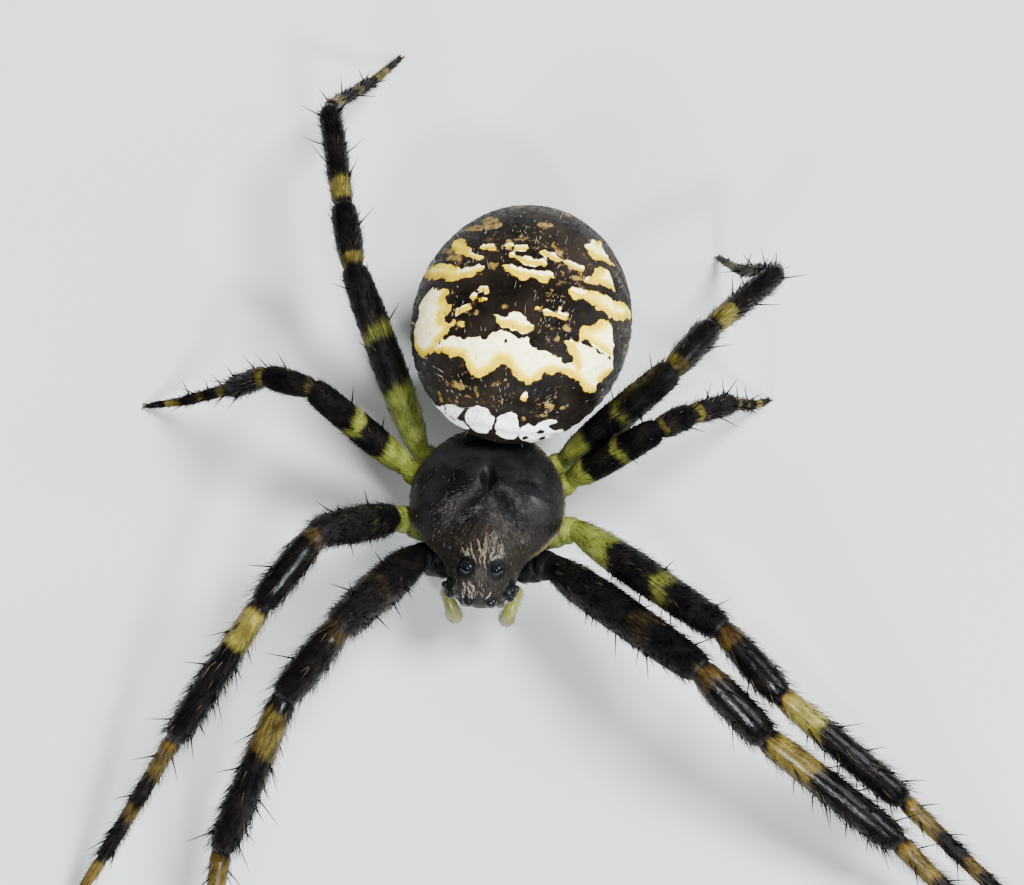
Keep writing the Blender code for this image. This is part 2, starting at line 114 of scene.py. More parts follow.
def setValues(mesh, name, values):
    attribute = mesh.attributes.new(name, "FLOAT", "POINT")
    attribute.data.foreach_set("value", np.asarray(values, np.float32))


def linkPiece(name, mesh, material, slot, replaced=()):
    mesh.materials.append(material)
    mesh.shade_smooth()
    piece = bpy.data.objects.new(name, mesh)
    bpy.context.scene.collection.objects.link(piece)
    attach(piece, "root")
    if replaced:
        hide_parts(*replaced)
    return piece


def addPiece(name, shape, material, slot, replaced=(), fields=()):
    # turns a bmesh in mm into a finished piece in metres; fields are values at its points
    shape.normal_update()
    bmesh.ops.recalc_face_normals(shape, faces=shape.faces)
    mesh = bpy.data.meshes.new(name)
    shape.to_mesh(mesh)
    shape.free()
    mesh.transform(Matrix.Scale(mm, 4) @ Matrix.Translation(Vector(shift)))
    for field, values in dict(fields).items():
        setValues(mesh, field, values)
    return linkPiece(name, mesh, material, slot, replaced)


def spotsOf(shape):
    # points of a bmesh as rows
    return np.array([vertex.co[:] for vertex in shape.verts])


def roundShape(surface, around, rings):
    # a sphere whose points are moved onto a surface, with the heights and turns they had
    shape = bmesh.new()
    bmesh.ops.create_uvsphere(shape, u_segments=around, v_segments=rings, radius=1.0)
    spots = spotsOf(shape)
    heights = np.clip(spots[:, 2], -1, 1)
    turns = np.arctan2(spots[:, 1], spots[:, 0])
    for vertex, place in zip(shape.verts, surface(heights, turns)):
        vertex.co = place
    return shape, heights, turns


def addShapes(whole, surfaces, around, rings):
    # adds closed surfaces to a shape
    for surface in surfaces:
        shape = roundShape(surface, around, rings)[0]
        mesh = bpy.data.meshes.new("part")
        shape.to_mesh(mesh)
        shape.free()
        whole.from_mesh(mesh)
        bpy.data.meshes.remove(mesh)
    return whole


def tubeSurface(points, radii):
    # smooth rounded tube through a few points, read by height -1..1 and turn
    points = np.array(points, float)
    runs = np.concatenate([[0], np.cumsum(np.linalg.norm(np.diff(points, axis=0), axis=1))])
    runs = runs / runs[-1]
    tables = [list(zip(runs, points[:, axis])) for axis in range(3)]
    radiusTable = list(zip(runs, radii))

    def lineAt(places):
        return np.stack([curveAt(places, table) for table in tables], -1)

    def surface(heights, turns):
        places = np.arccos(np.clip(-heights, -1, 1)) / math.pi
        ways = unit(lineAt(np.clip(places + 0.01, 0, 1)) - lineAt(np.clip(places - 0.01, 0, 1)))
        helper = np.array([0.12, -0.2, 1.0]) if abs(ways[:, 2]).mean() < 0.8 else np.array([0.1, 1.0, 0.1])
        top = unit(helper - ways * (ways @ helper)[:, None])
        side = np.cross(ways, top)
        cap = rounded(np.minimum(places, 1 - places) / 0.08)
        radius = curveAt(places, radiusTable) * cap
        return lineAt(places) + roundAbout(top, side, turns) * radius[:, None]

    return surface


# materials are built from these few steps

def newMaterial(name, colour, roughness, **sockets):
    material = bpy.data.materials.new(name)
    material.use_nodes = True
    tree = material.node_tree
    shader = tree.nodes["Principled BSDF"]
    shader.inputs["Base Color"].default_value = (*colour, 1.0)
    shader.inputs["Roughness"].default_value = roughness
    for socket, value in sockets.items():
        shader.inputs[socket.replace("_", " ")].default_value = value
    return material, tree, shader


def addNode(tree, kind, sockets=None, **settings):
    # sockets maps an input's name or number to a value or to another node's output
    made = tree.nodes.new("ShaderNode" + kind)
    for name, value in settings.items():
        setattr(made, name, value)
    for name, value in (sockets or {}).items():
        if isinstance(value, bpy.types.NodeSocket):
            tree.links.new(value, made.inputs[name])
        else:
            made.inputs[name].default_value = value
    return made


def objectPlace(tree):
    return addNode(tree, "TexCoord").outputs["Object"]


def noise(tree, scale, detail, roughness=0.55, vector=None):
    vector = vector or objectPlace(tree)
    sockets = {"Vector": vector, "Scale": scale, "Detail": detail, "Roughness": roughness}
    return addNode(tree, "TexNoise", sockets).outputs["Fac"]


def cellNoise(tree, scale, **settings):
    sockets = {"Vector": objectPlace(tree), "Scale": scale}
    return addNode(tree, "TexVoronoi", sockets, **settings).outputs["Distance"]


def reading(tree, name, output="Fac"):
    # values stored at the points of a piece
    return addNode(tree, "Attribute", attribute_name=name).outputs[output]


def calc(tree, operation, first, second):
    return addNode(tree, "Math", {0: first, 1: second}, operation=operation).outputs[0]


def stretch(tree, value, low, high, lowTo=0.0, highTo=1.0):
    sockets = {"Value": value, "From Min": low, "From Max": high, "To Min": lowTo, "To Max": highTo}
    return addNode(tree, "MapRange", sockets, interpolation_type="SMOOTHSTEP").outputs["Result"]


def blendColours(tree, factor, first, second):
    first, second = ((*value, 1.0) if isinstance(value, tuple) else value for value in (first, second))
    return addNode(tree, "Mix", {"Factor": factor, 6: first, 7: second}, data_type="RGBA").outputs[2]


def mottled(tree, value, low, high, first, second):
    # from the first colour to the second where a value goes from low to high
    return blendColours(tree, stretch(tree, value, low, high), first, second)


def over(tree, base, colour, *factors):
    # lays a colour over the base, as strong as the product of the factors
    share = factors[0]
    for factor in factors[1:]:
        share = calc(tree, "MULTIPLY", share, factor)
    return blendColours(tree, share, base, colour)


def ripple(tree, value, size):
    # a value's stray from one half, made larger or smaller
    return calc(tree, "MULTIPLY", calc(tree, "SUBTRACT", value, 0.5), size)


def plug(tree, shader, **outputs):
    for socket, output in outputs.items():
        tree.links.new(output, shader.inputs[socket.replace("_", " ")])


def bump(tree, shader, height, distance, strength, before=None):
    sockets = {"Height": height, "Distance": distance, "Strength": strength}
    if before:
        sockets["Normal"] = before
    made = addNode(tree, "Bump", sockets).outputs["Normal"]
    tree.links.new(made, shader.inputs["Normal"])
    return made


# the camera's target and distance in mm, its directions in degrees and the lens in mm
view = {
    "target": (-1.7641, 2.4669, 0.836), "azimuth": 4.0, "elevation": 68.0, "distance": 85.0, "lens": 161.37,
}
studio = {
    "floor": (0.42, 0.43, 0.42), "floorSize": 1.5,
    "world": (0.86, 0.9, 0.95), "worldStrength": 0.13,
    # lights: azimuth, elevation, size in m, power in W, colour, and if they show in reflections
    "lightDistance": 0.32,
    "lights": {
        "overhead": (100, 66, 0.12, 3.8, (1.0, 1.0, 1.0), False),
        "sky": (96, 36, 0.15, 0.9, (0.92, 0.96, 1.0), True),
        "front": (-15, 37, 0.09, 1.15, (1.0, 1.0, 1.0), False),
        "glint": (20, 46, 0.03, 1.15, (0.88, 0.94, 1.0), True),
    },
}


def awayFrom(azimuth, elevation):
    a, e = math.radians(azimuth), math.radians(elevation)
    return Vector((math.sin(a) * math.cos(e), -math.cos(a) * math.cos(e), math.sin(e)))


def addCamera():
    data = bpy.data.cameras.new("camera")
    data.lens = view["lens"]
    data.sensor_width = 36.0
    data.clip_start = 0.005
    data.clip_end = 20.0
    camera = bpy.data.objects.new("camera", data)
    back = awayFrom(view["azimuth"], view["elevation"])
    camera.location = Vector(view["target"]) * mm + back * view["distance"] * mm
    camera.rotation_euler = back.to_track_quat("Z", "Y").to_euler()
    bpy.context.scene.collection.objects.link(camera)
    bpy.context.scene.camera = camera


def addLight(name, azimuth, elevation, size, power, colour, mirrored):
    data = bpy.data.lights.new(name, "AREA")
    data.shape = "DISK"
    data.size = size
    data.energy = power
    data.color = colour
    light = bpy.data.objects.new(name, data)
    light.visible_glossy = mirrored
    back = awayFrom(azimuth, elevation)
    light.location = Vector((0, 0, 0.003)) + back * studio["lightDistance"]
    light.rotation_euler = back.to_track_quat("Z", "Y").to_euler()
    bpy.context.scene.collection.objects.link(light)


def addStudio():
    world = bpy.data.worlds.new("studio")
    world.use_nodes = True
    background = world.node_tree.nodes["Background"]
    background.inputs["Color"].default_value = (*studio["world"], 1.0)
    background.inputs["Strength"].default_value = studio["worldStrength"]
    bpy.context.scene.world = world
    for name, values in studio["lights"].items():
        addLight(name, *values)
    shape = bmesh.new()
    bmesh.ops.create_grid(shape, x_segments=1, y_segments=1, size=studio["floorSize"])
    mesh = bpy.data.meshes.new("floor")
    shape.to_mesh(mesh)
    shape.free()
    mesh.materials.append(newMaterial("paleFloor", studio["floor"], 0.7)[0])
    floor = bpy.data.objects.new("floor", mesh)
    bpy.context.scene.collection.objects.link(floor)


# sizes in mm; the detail of a skin is its points around and its rings
carapace = {
    "length": 3.44, "blunt": 2.8, "marginZ": 2.35, "detail": (288, 200),
    "halfWidth": ((-1.0, 0.76), (-0.81, 0.75), (-0.64, 0.73), (-0.49, 0.8), (-0.32, 1.08), (-0.12, 1.34),
                  (0.12, 1.41), (0.35, 1.39), (0.58, 1.31), (0.78, 1.2), (1.0, 1.03)),
    "rise": ((-1.0, 0.7), (-0.93, 0.74), (-0.81, 0.87), (-0.64, 0.86), (-0.32, 0.75), (0.12, 0.77),
             (0.35, 0.74), (0.58, 0.59), (0.78, 0.37), (1.0, 0.14)),
    "depth": ((-1.0, 0.48), (-0.81, 0.53), (-0.64, 0.55), (-0.49, 0.74), (-0.3, 0.92), (0.0, 0.95),
              (0.5, 0.98), (1.0, 0.98)),
    # eyes: place along the carapace, turn round it, radius; the side eyes sit on a knob
    "eyes": {"anterior_median": (-0.985, 32.0, 0.115), "posterior_median": (-0.71, 63.0, 0.13)},
    "knob": (-0.845, 20.0, 0.17), "sideEye": 0.075, "sink": 0.35, "eyeRim": 0.008,
    "sideEyes": {"anterior_lateral": (0.3, 1.0, 0.0), "posterior_lateral": (0.9, -0.1, 0.45)},
    # the pit in the middle of the back: y, depth, width and length
    "pit": (0.45, 0.24, 0.13, 0.26),
    # grooves that run out from the pit: end x, end y, depth and width
    "grooves": ((0.74, -0.66, 0.1, 0.16), (1.15, -0.2, 0.035, 0.16), (1.25, 0.45, 0.035, 0.16),
                (0.95, 1.1, 0.035, 0.16)),
    # swellings: x, y, height and width
    "swellings": ((0.42, 0.62, 0.07, 0.24), (0.72, 0.2, 0.06, 0.26), (0.45, -0.1, 0.03, 0.2),
                  (0.85, 0.75, 0.04, 0.24)),
    # glossy places, given as the swellings are, and the widths of the wisps' lines
    "sheen": ((0.08, 0.58, 1.0, 0.2), (0.78, 0.3, 1.0, 0.3)),
    "wispWidths": {"cream": 0.0095, "patch": 0.024, "silver": 0.06, "red": 0.018},
}


def carapacePlain(heights, turns):
    blunt = carapace["blunt"]
    places = placesOf(heights)
    ring = np.clip(1 - np.abs(places) ** blunt, 0, 1) ** (1 / blunt)
    width = curveAt(places, carapace["halfWidth"]) * ring
    across, upward = np.cos(turns), np.sin(turns)
    top = upward >= 0
    x = np.where(top, width * across, width * (across + across ** 3) / 2)
    z = np.where(top, curveAt(places, carapace["rise"]), curveAt(places, carapace["depth"])) * ring * upward
    return np.stack([x, places * carapace["length"] / 2, carapace["marginZ"] + z], -1), top, upward


def heightsOf(places):
    return np.sign(places) * np.abs(places) ** (carapace["blunt"] / 2)


def placesOf(heights):
    return np.sign(heights) * np.abs(heights) ** (2 / carapace["blunt"])


def carapaceSpot(place, turn):
    return carapacePlain(heightsOf(np.array([place])), np.radians([turn]))[0][0]


def carapaceOutward(place, turn):
    step = 0.01
    along = carapaceSpot(place + step, turn) - carapaceSpot(place - step, turn)
    around = carapaceSpot(place, turn + 1) - carapaceSpot(place, turn - 1)
    return unit(np.cross(along, around))


def eyePlaces():
    # middle and radius of each eye
    places = {}
    for side, sign in sides.items():
        flip = np.array([sign, 1, 1])
        for name, (place, turn, radius) in carapace["eyes"].items():
            spot = carapaceSpot(place, turn) - carapaceOutward(place, turn) * radius * carapace["sink"]
            places[f"eye_{name}_{side}"] = (spot * flip, radius)
        place, turn, knobRadius = carapace["knob"]
        for name, (outward, forward, up) in carapace["sideEyes"].items():
            look = unit(np.array([outward, -forward, up]))
            spot = carapaceSpot(place, turn) + look * (knobRadius - carapace["sideEye"] * carapace["sink"])
            places[f"eye_{name}_{side}"] = (spot * flip, carapace["sideEye"])
    return places


def grooveDepth(x, y):
    # depth of the pit and of the grooves that run out from it
    pitY, pitDepth, pitWidth, pitLength = carapace["pit"]
    depth = pitDepth * np.exp(-(x / pitWidth) ** 2 - ((y - pitY) / pitLength) ** 2)
    spots = np.stack([np.abs(x), y], -1)
    for endX, endY, deep, wide in carapace["grooves"]:
        part, away = nearLine(spots, np.array([0.0, pitY]), np.array([endX, endY]))
        depth = np.maximum(depth, deep * np.exp(-(away / wide) ** 2) * (1 - part ** 4))
    return depth


def carapaceSurface(heights, turns):
    spots, top, upward = carapacePlain(heights, turns)
    x, y = spots[:, 0].copy(), spots[:, 1].copy()
    lift = mounds(np.abs(x), y, carapace["swellings"]) - grooveDepth(x, y)
    spots[:, 2] += np.where(top, lift * np.clip(upward * 2.2, 0, 1), 0)
    place, turn, radius = carapace["knob"]
    centre = carapaceSpot(place, turn)
    outward = carapaceOutward(place, turn)
    for sign in (1, -1):
        # the patch of skin round the knob's middle is drawn out into a ball
        flip = np.array([sign, 1, 1])
        away = spots - centre * flip
        reach = np.linalg.norm(away, axis=1)
        flat = away - (outward * flip) * (away @ (outward * flip))[:, None]
        turned = (1 - np.clip(reach / (radius * 1.25), 0, 1)) * math.pi / 2
        ball = unit(flat) * np.cos(turned)[:, None] + (outward * flip) * np.sin(turned)[:, None]
        share = smoothStep(radius * 1.25, radius * 1.1, reach)[:, None]
        spots = spots * (1 - share) + (centre * flip + ball * radius) * share
    for name, (spot, size) in eyePlaces().items():
        if "median" in name:  # a low rim round each middle eye
            away = spots - spot
            reach = np.linalg.norm(away, axis=1)
            ring = np.exp(-((reach - size * 1.05) / (size * 0.3)) ** 2)
            spots += unit(away) * (carapace["eyeRim"] * ring)[:, None]
    return spots


# pale wisps on the head: places along the carapace and turns round it, in degrees
wisps = {
    "cream": (((-0.51, 111), (-0.55, 113), (-0.59, 110)),
              ((-0.46, 106), (-0.51, 106), (-0.58, 105), (-0.63, 101), (-0.67, 99), (-0.71, 100)),
              ((-0.42, 97), (-0.46, 95), (-0.51, 95), (-0.56, 92), (-0.6, 92), (-0.64, 94), (-0.66, 92)),
              ((-0.4, 88), (-0.45, 86), (-0.52, 84), (-0.57, 87), (-0.61, 85), (-0.65, 86), (-0.7, 84),
               (-0.72, 81)),
              ((-0.46, 89), (-0.5, 87), (-0.55, 89), (-0.59, 88)),
              ((-0.49, 77), (-0.54, 73), (-0.57, 76), (-0.63, 77)),
              ((-0.5, 120), (-0.56, 117), (-0.6, 114)),
              ((-0.85, 126), (-0.89, 125), (-0.93, 133)), ((-0.88, 118), (-0.92, 117), (-0.97, 120)),
              ((-0.91, 114), (-0.94, 112), (-0.97, 115)), ((-0.87, 110), (-0.89, 105), (-0.91, 105)),
              ((-0.9, 135), (-0.94, 140), (-0.97, 151)), ((-0.91, 64), (-0.94, 65), (-0.96, 68))),
    "patch": (((-0.66, 78), (-0.62, 72), (-0.59, 66), (-0.57, 60)), ((-0.64, 74), (-0.6, 68), (-0.58, 62)),
              ((-0.45, 66), (-0.5, 64), (-0.55, 61))),
    "silver": (((-0.09, 82), (-0.15, 78), (-0.22, 72), (-0.32, 68)),
               ((-0.12, 83), (-0.2, 77), (-0.28, 72)),
               ((-0.33, 76), (-0.43, 78), (-0.56, 73)),
               ((-0.05, 95), (-0.13, 107), (-0.23, 122)),
               ((0.04, 85), (-0.04, 78), (-0.18, 67), (-0.35, 45)),
               ((0.19, 84), (0.15, 76), (0.07, 68), (-0.04, 60)),
               ((0.2, 91), (0.12, 99), (0.06, 110), (-0.05, 118), (-0.09, 124)),
               ((-0.75, 94), (-0.79, 90), (-0.82, 92))),
    "red": (((-0.24, 87), (-0.32, 89), (-0.38, 84), (-0.46, 87)), ((-0.52, 90), (-0.62, 89), (-0.72, 90))),
}


def carapaceMarks(heights, turns):
    # distance from each kind of wisp; 110 degrees are about as long as one step along the carapace
    scale = np.array([1, 110.0])
    flat = np.stack([placesOf(heights), (np.degrees(turns) + 90) % 360 - 90], -1) / scale
    return {
        name: np.min([lineDistance(flat, np.array(line) / scale) for line in lines], axis=0)
        for name, lines in wisps.items()
    }


def buildCephalothorax(material):
    shape, heights, turns = roundShape(carapaceSurface, *carapace["detail"])
    spots = spotsOf(shape)
    x, y, z = spots.T
    marks = carapaceMarks(heights, turns)
    fields = {name: smoothStep(width, 0.0, marks[name]) for name, width in carapace["wispWidths"].items()}
    # the head is browner than the rest, and the rim of the carapace is pale
    fields["head"] = smoothStep(-0.2, -0.75, y) * smoothStep(2.2, 2.5, z)
    fields["rim"] = np.exp(-((z - 2.38) / 0.085) ** 2) * smoothStep(-0.9, -0.4, y)
    fields["rim"] *= np.where(x > 0, 1.0, 0.45)
    # painted shade: the grooves and the pit are darkened by this mask
    fields["groove"] = grooveDepth(x, y) / 0.1
    ring, knob = np.zeros(len(spots)), np.zeros(len(spots))
    for name, (spot, radius) in eyePlaces().items():
        away = np.linalg.norm(spots - spot, axis=1)
        ring = np.maximum(ring, smoothStep(radius * 1.9, radius * 1.4, away))
        if "lateral" in name:
            knob = np.maximum(knob, smoothStep(radius * 3.0, radius * 2.2, away))
    fields["eyeRing"] = np.maximum(ring, knob)
    fields["knob"] = knob
    # smoother and glossier beside the pit and on the swelling towards each flank
    fields["sheen"] = mounds(np.abs(x), y, carapace["sheen"])
    fields = {name: np.clip(values, 0, 1) for name, values in fields.items()}
    addPiece("cephalothoraxSkin", shape, material, "black_shell", ("cephalothorax",), fields)


# colours of the carapace, dark to light, then what is laid over them: grain's range, strength and colour
carapacePaint = {
    "black": ((0.0016, 0.0014, 0.0016), (0.008, 0.007, 0.0085)),
    "marks": {
        "head": ((0.25, 0.65), 0.9, (0.011, 0.009, 0.0055)),
        "red": (None, 0.5, (0.05, 0.024, 0.018)),
        "patch": ((0.3, 0.55), 0.3, (0.28, 0.2, 0.15)),
        "cream": ((0.3, 0.5), 0.42, (0.38, 0.26, 0.16)),
        "silver": ((0.42, 0.66), 0.22, (0.12, 0.11, 0.12)),
        # painted shade, darker in the grooves and the pit
        "groove": (None, 0.75, (0.0015, 0.0015, 0.0015)),
        "rim": (None, 0.65, (0.22, 0.18, 0.07)),
        "eyeRing": (None, 1.0, (0.002, 0.002, 0.002)),
    },
    "roughness": (0.5, 0.66), "smoother": {"sheen": 0.4, "knob": 0.3},
}


def carapaceMaterial():
    material, tree, shader = newMaterial("carapaceBlack", (0.02, 0.018, 0.018), 0.42, Specular_IOR_Level=0.19)
    grain = noise(tree, 9000, 6.0, 0.65)
    patches = noise(tree, 1900, 3.0, 0.5)
    base = mottled(tree, patches, 0.35, 0.7, *carapacePaint["black"])
    for name, (grained, share, colour) in carapacePaint["marks"].items():
        factors = [stretch(tree, grain, *grained)] if grained else []
        base = over(tree, base, colour, reading(tree, name), *factors, share)
    dull = stretch(tree, patches, 0.3, 0.7, *carapacePaint["roughness"])
    for name, less in carapacePaint["smoother"].items():
        dull = calc(tree, "SUBTRACT", dull, calc(tree, "MULTIPLY", reading(tree, name), less))
    plug(tree, shader, Base_Color=base, Roughness=dull)
    # the glossy places have hardly any pores
    strength = stretch(tree, reading(tree, "sheen"), 0.1, 0.8, 0.55, 0.1)
    first = bump(tree, shader, noise(tree, 14000, 3.0, 0.6), 0.000012, strength)
    bump(tree, shader, cellNoise(tree, 9000), 0.00001, strength, first)
    return material


def eyeMaterial():
    gloss = {"Specular_IOR_Level": 0.22, "Coat_Weight": 0.2, "Coat_Roughness": 0.03}
    material, tree, shader = newMaterial("eyeBlack", (0.003, 0.003, 0.004), 0.06, **gloss)
    tones = ((0.0012, 0.0015, 0.002), (0.006, 0.006, 0.0065))
    plug(tree, shader, Base_Color=mottled(tree, noise(tree, 5000, 2.0), 0.35, 0.7, *tones))
    return material


def buildEyes(material):
    for name, (spot, radius) in eyePlaces().items():
        shape = bmesh.new()
        bmesh.ops.create_uvsphere(shape, u_segments=32, v_segments=20, radius=radius * 1.02)
        bmesh.ops.translate(shape, verts=shape.verts, vec=Vector(spot))
        addPiece(name.replace("eye_", "eyeball_"), shape, material, "eye", (name,))


abdomen = {
    "centre": (0.389, 3.538, 3.0), "halfLength": 2.42, "halfWidth": 1.99, "rise": 1.72, "depth": 1.47,
    "pitch": 12.0, "yaw": 8.0, "detail": (320, 220),
    # muscle dents on the back: degrees to the side and to the rear of the top point, depth and size
    "dents": ((10, -30, 0.035, 3.0), (12, -5, 0.035, 3.5), (9, 18, 0.035, 3.0), (22, -20, 0.035, 2.5),
              (24, 6, 0.035, 2.5)),
    "folds": 0.008,
}
# outlines on the back, in degrees to her left and to the rear of its top point
creamMarks = {
    "mainBand": ((-62, -46), (-55, -44), (-42, -44), (-32, -46), (-26, -46), (-23, -50), (-19, -54),
                 (-15, -55), (-10, -53), (-6, -50), (-3, -45), (2, -46), (6, -50), (11, -53), (18, -53),
                 (21, -50), (25, -46), (31, -44), (39, -43), (46, -44), (53, -47), (61, -48), (66, -45),
                 (64, -40), (72, -31), (74, -28), (69, -23), (59, -24), (51, -24), (43, -25), (36, -26),
                 (30, -28), (36, -31), (41, -37), (32, -38), (23, -35), (15, -35), (12, -36), (9, -32),
                 (5, -32), (0, -31), (-7, -31), (-10, -33), (-12, -36), (-15, -36), (-17, -34), (-19, -36),
                 (-25, -36), (-34, -36), (-41, -38), (-44, -39)),
    "sideRight": ((-62, -46), (-70, -40), (-75, -28), (-68, -23), (-67, -14), (-62, -9), (-53, -8),
                  (-43, -10), (-40, -13), (-44, -16), (-40, -18), (-37, -22), (-39, -25), (-43, -25),
                  (-42, -27), (-36, -30), (-37, -33), (-40, -36), (-44, -39), (-49, -44)),
    "sideLeft": ((36, -23), (37, -18), (41, -16), (45, -13), (49, -9), (56, -7), (62, -14), (69, -23),
                 (59, -24), (51, -24), (43, -24), (38, -25)),
    "oval": ((-12, -23), (-10, -24), (-7, -25), (-5, -24), (-2, -22), (3, -22), (8, -24), (12, -26),
             (11, -28), (8, -29), (6, -31), (3, -30), (-1, -29), (-6, -29), (-8, -28), (-10, -25)),
    "rearBandRight": ((-77, 14), (-75, 18), (-60, 10), (-52, 7), (-43, 4), (-37, 0), (-31, 0), (-26, 1),
                      (-22, -1), (-23, -3), (-26, -5), (-32, -6), (-39, -7), (-49, -3), (-59, -1),
                      (-69, 5)),
    "hornRight": ((-51, 25), (-42, 21), (-37, 16), (-34, 10), (-29, 7), (-25, 5), (-26, 4), (-32, 5),
                  (-38, 9), (-44, 12), (-48, 17)),
    "bar": ((-12, 1), (-10, 2), (-5, 0), (-2, 1), (3, 1), (8, 0), (13, 2), (15, 0), (13, -3), (9, -4),
            (3, -4), (-1, -5), (-6, -3), (-10, -2)),
    "upperBar": ((-11, 7), (-5, 8), (1, 7), (6, 8), (9, 6), (9, 4), (5, 3), (0, 2), (-5, 4), (-10, 5)),
    "rearBandLeft": ((23, -3), (25, -1), (29, -2), (34, 0), (38, 2), (44, 4), (53, 6), (63, 12), (75, 16),
                     (80, 14), (67, 2), (58, -4), (49, -5), (39, -5), (31, -6), (26, -6)),
    "hornLeft": ((32, 5), (35, 10), (40, 19), (43, 21), (48, 19), (54, 13), (48, 10), (41, 8), (34, 4)),
    "rearLeft": ((28, 25), (31, 35), (38, 41), (41, 34), (45, 30), (52, 31), (44, 26), (37, 22), (31, 22)),
}
whiteMarks = {
    "lobeRight": ((-24, -80), (-19, -74), (-13, -71), (-6, -72), (-1, -78), (-2, -87), (-7, -93),
                  (-15, -95), (-21, -91), (-24, -86)),
    "lobeLeft": ((0, -82), (2, -76), (6, -74), (10, -71), (14, -73), (17, -79), (20, -86), (17, -94),
                 (10, -96), (2, -91), (0, -86)),
    "clusterRight": ((-73, -75), (-64, -81), (-49, -79), (-41, -74), (-34, -74), (-28, -75), (-24, -76),
                     (-29, -81), (-27, -88), (-22, -93), (-34, -101), (-49, -99), (-59, -92), (-67, -84)),
    "clusterLeft": ((19, -81), (24, -78), (30, -79), (32, -74), (38, -71), (43, -70), (45, -72), (41, -77),
                    (45, -80), (59, -79), (69, -85), (66, -92), (53, -101), (39, -105), (26, -97),
                    (20, -87)),
}
# short marks: from, to and half width, in the same degrees
creamSpots = ((-20.5, -12, -17.5, -12.5, 1.2), (-24, -16, -19, -17.5, 1.3), (-33, -23, -27, -21, 1.4),
              (-35, -28, -29, -29, 1.0), (16, -18, 23, -17, 1.3), (23, -17, 29, -17, 0.9),
              (11, -17, 11, -17, 1.1), (21, -14, 22, -14, 1.2), (-26, 11, -20, 11, 2.0),
              (-13, 11.5, -12, 12, 1.7), (-7.5, 11, -4, 11.5, 1.8), (7, 12, 9, 11.5, 1.8),
              (12, 10.5, 15, 10, 1.6), (20, 10, 29, 10, 1.8), (16, -61, 16, -61, 2.0))
tanSpots = ((11, 18, 16, 13, 1.4), (-13, 15, -11, 13, 1.4), (-7, 19, -7, 19, 1.4), (-40, 8, -57, 20, 1.8),
            (-19, 1, -17, 0, 1.8), (-45, 32, -32, 27, 2.6), (-31, 35, -24, 27, 4.0), (1, 30, 5, 31, 2.0),
            (-32, -61, -25, -61, 1.8), (-16, -62, -14, -65, 1.1), (31, -62, 36, -62, 1.3),
            (44, -61, 45, -61, 1.6), (19, -74, 19, -74, 1.7), (2, -54, 2, -54, 0.7),
            (-47, -68, -45, -73, 1.7), (21, -24, 21, -24, 0.9), (28, -22, 31, -22, 1.3),
            (25, -28, 25, -28, 0.9), (-6, -19, -6, -19, 0.8), (-21, -24, -21, -24, 0.8),
            (14, -9, 14, -9, 0.8), (-39, 6, -48, 9, 1.7), (26, 4, 29, 5, 1.4),
            # the hidden flanks and rear, after the species
            (-90, -20, -84, -6, 3.0), (90, -16, 86, 0, 3.0), (-88, 24, -78, 38, 3.0), (86, 30, 76, 42, 3.0),
            (-60, 52, -48, 62, 2.6), (58, 54, 48, 64, 2.6), (-16, 52, -10, 58, 2.0), (14, 52, 10, 60, 2.0),
            (-100, 4, -96, 18, 2.6), (100, 8, 96, 20, 2.6), (-34, 78, -28, 86, 2.2), (34, 80, 28, 88, 2.2))
darkSpots = ((26, -92, 26, -92, 2.6), (36, -82, 38, -82, 2.6), (43, -93, 44, -93, 4.0),
             (-30, -85, -28, -84, 2.4), (-2, -35, -2, -35, 0.5), (-14, -50, -10, -52, 0.25),
             (-47, -23, -46, -23, 1.0), (43, -24, 55, -25, 0.4), (-40, -86, -38, -90, 1.6),
             (-44, -79, -46, -84, 1.2), (52, -88, 55, -86, 1.4))
# groups of tan specks and of pale hairs, the pale hairs there partly real and partly painted glints: middle
# and size
speckAndGlintGroups = ((-34, -27, 7), (-40, -20, 5), (22, -21, 9), (18, -12, 8), (30, -26, 6), (-28, -64, 10),
            (0, -62, 7), (32, -63, 8), (-12, 16, 9), (4, 20, 8), (24, 8, 9), (-32, 4, 6), (-40, 10, 7),
            (-55, -88, 8))
# underside: degrees from its lowest point, from, to and half width
bellyBands = ((-20, -34, -24, -4, 4.0), (-25, 6, -22, 30, 4.0), (20, -34, 24, -4, 4.0), (25, 6, 22, 30, 4.0),
              (-48, -10, -46, 6, 2.6), (48, -12, 46, 4, 2.6), (-46, 24, -40, 34, 2.4), (46, 24, 40, 34, 2.4))


def abdomenAxes():
    yaw, pitch = math.radians(abdomen["yaw"]), math.radians(abdomen["pitch"])
    along = np.array([math.sin(yaw) * math.cos(pitch), math.cos(yaw) * math.cos(pitch), -math.sin(pitch)])
    across = np.array([math.cos(yaw), -math.sin(yaw), 0.0])
    return across, along, np.cross(across, along)


def overBack(heights, turns):
    # degrees over the back from its top point, and the same from the lowest point
    ring = np.sqrt(np.clip(1 - heights ** 2, 0, 1))
    x, y, z = ring * np.cos(turns), heights, ring * np.sin(turns)
    flat = np.maximum(np.hypot(x, y), 1e-9)
    reach = np.degrees(np.arccos(np.clip(z, -1, 1)))
    top = np.stack([x, y], -1) / flat[:, None] * reach[:, None]
    return top, np.stack([x, y], -1) / flat[:, None] * (180 - reach)[:, None]


